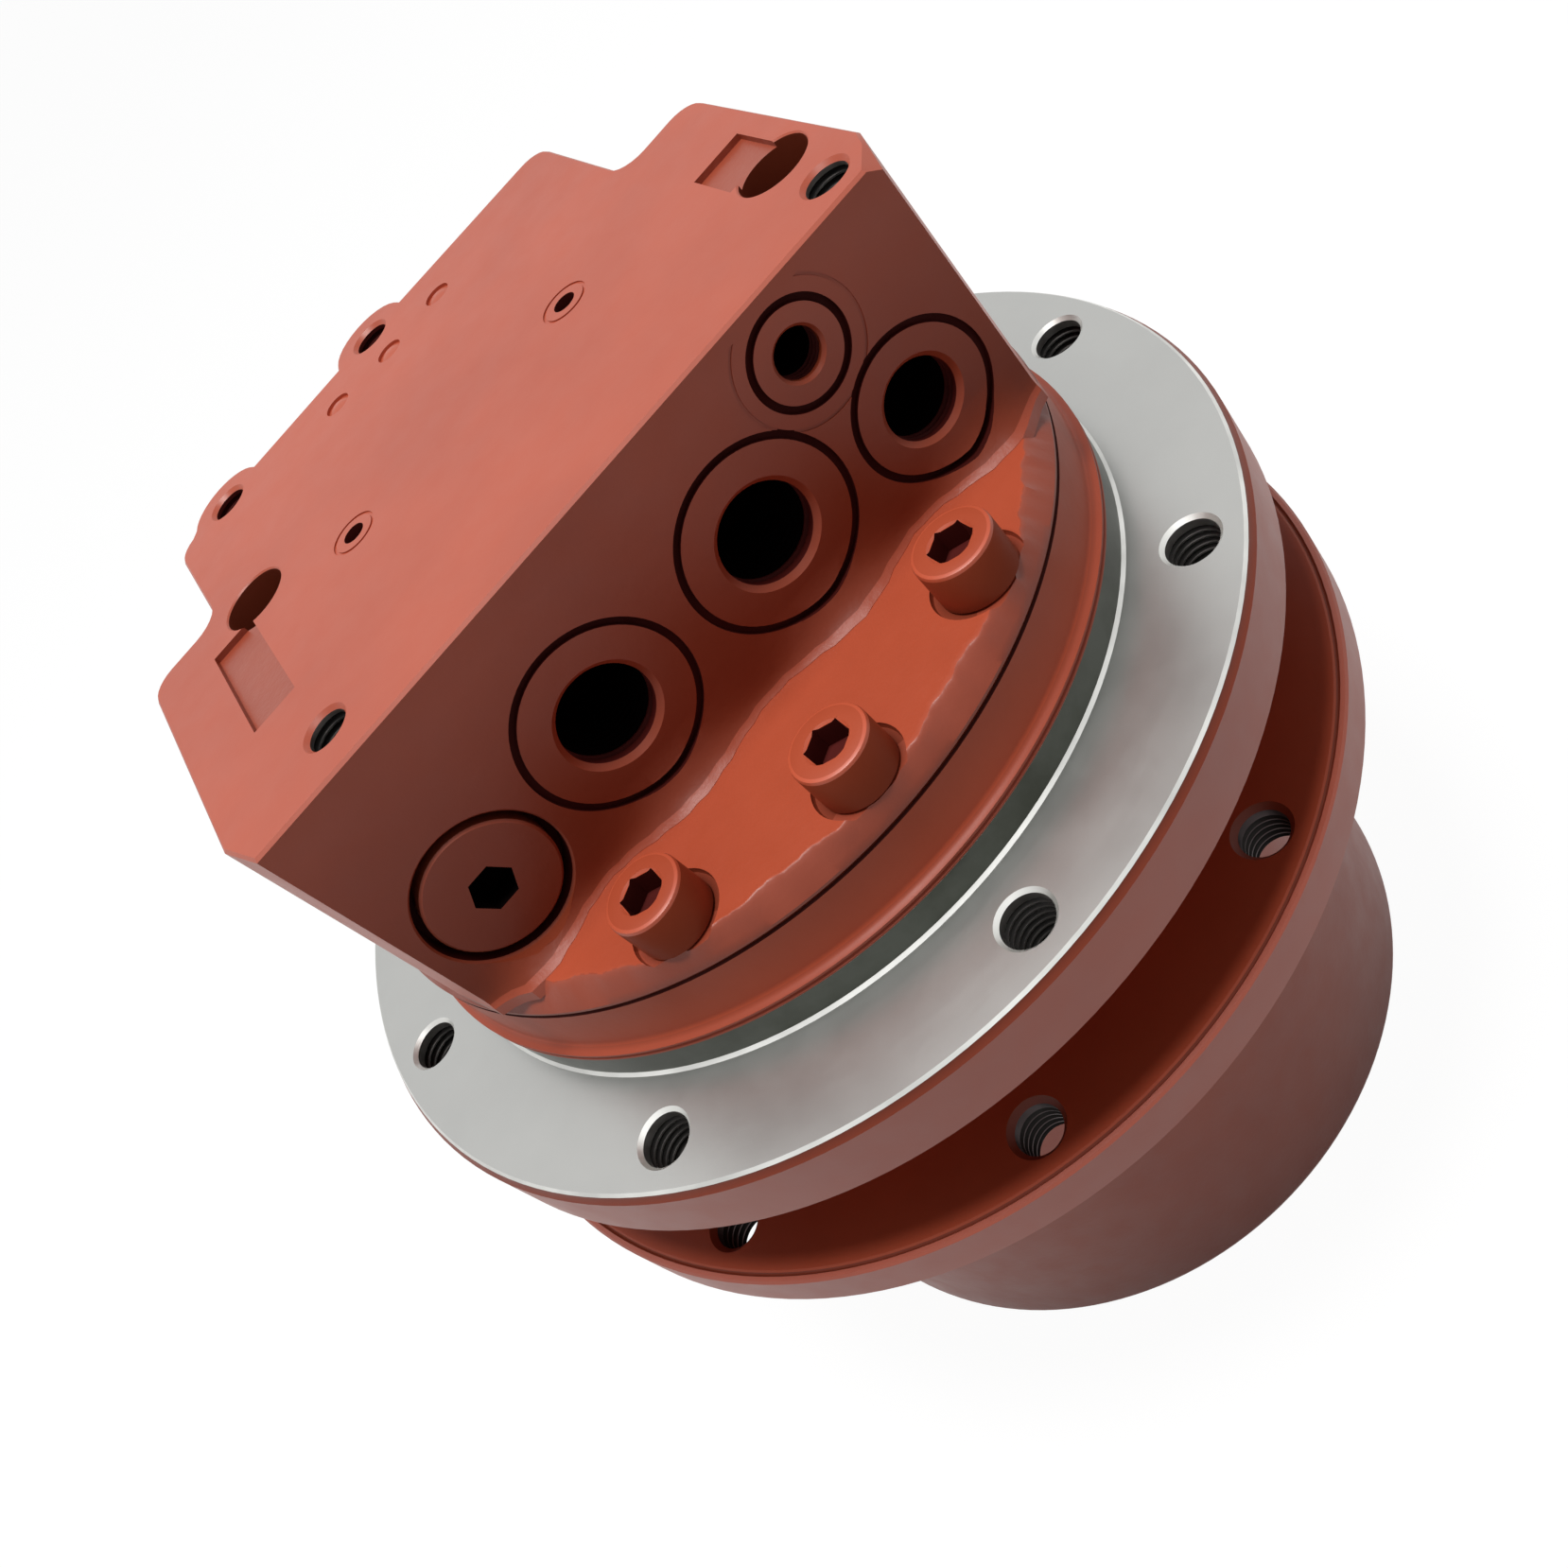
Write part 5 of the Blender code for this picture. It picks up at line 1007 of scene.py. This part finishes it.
def buildHub():
    h = hubSpec
    r, e = h["r"], h["endEdge"]
    rounded = [(r - e + e * math.sin(math.radians(a)), e - e * math.cos(math.radians(a)))
               for a in range(0, 91, 15)]
    wide, low, top, f = h["flangeR"], h["flangeLow"], h["flangeTop"], h["fillet"]
    fillet = [(r + f - f * math.cos(math.radians(a)), low - f + f * math.sin(math.radians(a)))
              for a in range(0, 91, 18)]
    neckR, neckTop = h["neckR"], h["neckTop"]
    # sprocket flange with the fine groove near its rim, and the neck, from below
    outside = [
        (wide - 0.0012, low), (wide, low + 0.0012), (wide, top - 0.0009), (wide - 0.0005, top - 0.0004),
        (wide - 0.0014, top - 0.0003), (wide - 0.0018, top - 0.0007), (wide - 0.0022, top - 0.0003),
        (wide - 0.0026, top), (neckR + 0.0015, top), (neckR, top + 0.0015), (neckR, neckTop - 0.0012),
        (neckR - 0.0012, neckTop),
    ]
    # seal ring, upper bearing, shoulder, lower bearing, ring gear and the clip's groove, from above
    inside = [
        (0.084, neckTop), (0.084, 0.1125), (0.0793, 0.1125), (0.0793, 0.0915), (0.074, 0.0915), (0.074, 0.0845),
        (0.0793, 0.0845), (0.0793, 0.0655), (0.083, 0.0655), (0.083, 0.0041), (0.0855, 0.0041), (0.0855, 0.0015),
        (0.083, 0.0015), (0.083, 0.0004), (0.0834, 0),
    ]
    hub = meshObject("hubDrum", lathe(rounded + fillet + outside + inside, 160))
    for x, y in boltSpots(h):
        carve(hub, threadedHole(h["tapR"], h["tapMouth"], top - low + 0.002, h["tapPitch"], 48, "Z",
                                (x, y, top)))
    finishPiece(hub, "hub_side", ["hub"], hubFinishes, hubFinish)


hubFinishes = [hubPaintShadedLow, holeShadeSteel, threadShade, hardSteel, shadePaint, rimPaint]


def hubFinish(p, n):
    h = hubSpec
    top, r = h["flangeTop"], math.hypot(p.x, p.y)
    for x, y in boltSpots(h):
        away = math.hypot(p.x - x, p.y - y)
        # the hub's tapped holes: dark steel in the threads and dark paint on the mouth, painted shade
        if away < h["tapMouth"] + slack and h["flangeLow"] + slack < p.z < top - slack:
            if p.z < top - h["tapMouth"] + h["tapR"]:
                return threadPart(away, h["tapR"], h["tapPitch"], holeShadeSteel)
            return shadePaint
    # the fine groove near the rim: painted shade
    if abs(r - h["flangeR"] + 0.0018) < 0.0005 and top - 0.0008 < p.z < top - 2 * slack:
        return shadePaint
    if r < 0.0845 and 2 * slack < p.z < h["neckTop"] - 0.0005:
        return hardSteel
    # the rest of the hub: primer with painted shade towards the floor
    return rimPaint if r > h["flangeR"] - 0.0015 else hubPaintShadedLow


coverSpec = {
    "low": 0.0044,
    "top": 0.0144,
    "r": 0.0827,
    "edge": 0.0008,
    "dishR": 0.020,
    "dish": 0.0015,
    "padR": 0.012,
    "pad": 0.0004,
    "plugY": 0.055,
    "holeR": 0.0088,
    "plugR": 0.0085,
    "socketR": 0.0040,
    "socket": 0.005,
}
clipSpec = {"inner": 0.0803, "outer": 0.0849, "low": 0.0018, "high": 0.0038, "mouth": 14}


def buildEndCover():
    c = coverSpec
    low, top, r, e, plugR = c["low"], c["top"], c["r"], c["edge"], c["plugR"]
    cover = meshObject("endCover", lathe(
        [(0, low + c["dish"]), (c["dishR"], low + c["dish"]), (c["dishR"] + c["dish"], low), (r - e, low),
         (r, low + e), (r, top - e), (r - e, top), (c["padR"], top), (c["padR"], top + c["pad"]),
         (0, top + c["pad"])], 128))
    carve(cover, dropped(c["holeR"], low - 0.002, top + 0.002, 48, [(0, -c["plugY"]), (0, c["plugY"])]))
    finishPiece(cover, "hub_side", ["end_cover"], [machinedPaint])
    for side, node, name in ((-1, "oil_drain_plug", "oilDrainPlug"), (1, "oil_level_plug", "oilLevelPlug")):
        at = (0, side * c["plugY"], 0)
        plug = meshObject(name, lathe([(0, low + 0.0002), (plugR - 0.0005, low + 0.0002), (plugR, low + 0.0007),
                                       (plugR, top - 0.0005), (0, top - 0.0005)], 48, "Z", at))
        carve(plug, hexPocket(c["socketR"], low - 0.002, low + c["socket"], "Z", at))
        finishPiece(plug, "hub_side", [node], [hardSteel])


# spring clip that holds the cover: a ring with a mouth
def buildClip():
    c = clipSpec
    bm = bmesh.new()
    mouth = math.radians(c["mouth"])
    corners = [(c["inner"], c["low"]), (c["outer"], c["low"]), (c["outer"], c["high"]), (c["inner"], c["high"])]
    start = Matrix.Rotation(mouth / 2 - math.pi / 2, 3, "Z")
    face = bm.faces.new([bm.verts.new(start @ Vector((x, 0, z))) for x, z in corners])
    bmesh.ops.spin(bm, geom=[face], cent=(0, 0, 0), axis=(0, 0, 1), dvec=(0, 0, 0),
                   angle=2 * math.pi - mouth, steps=120)
    bmesh.ops.recalc_face_normals(bm, faces=bm.faces)
    finishPiece(meshObject("coverClip", bm), "hub_side", ["cover_clip"], [hardSteel])


# inner pieces keep their own shape and take a real finish

innerFinish = {"machined_steel": groundSteel, "hardened_steel": hardSteel, "bronze": turnedBronze,
               "seal_rubber": sealRubber, "primer_paint": machinedPaint}


def dressInnerPieces():
    slots = {entry["node"]: entry["material_slot"] for entry in frame["record"]["subparts"]}
    for name, node in frame["nodes"].items():
        if node.hide_render:
            continue
        finish = innerFinish[slots.get(name, "machined_steel")]
        if not node.data.materials:
            node.data.materials.append(finish)
        for place in node.material_slots:
            place.material = finish


bpy.context.scene.view_settings.view_transform = "Standard"
buildCamera()
buildWorld()
buildLamp()
buildFloor()
print("camera, lamps and floor set")
buildPortBlock()
print("port block carved")
buildScrews()
buildPlugs()
print("screws and plugs made")
buildCase()
print("motor case turned")
buildHub()
buildEndCover()
buildClip()
print("hub turned")
dressInnerPieces()
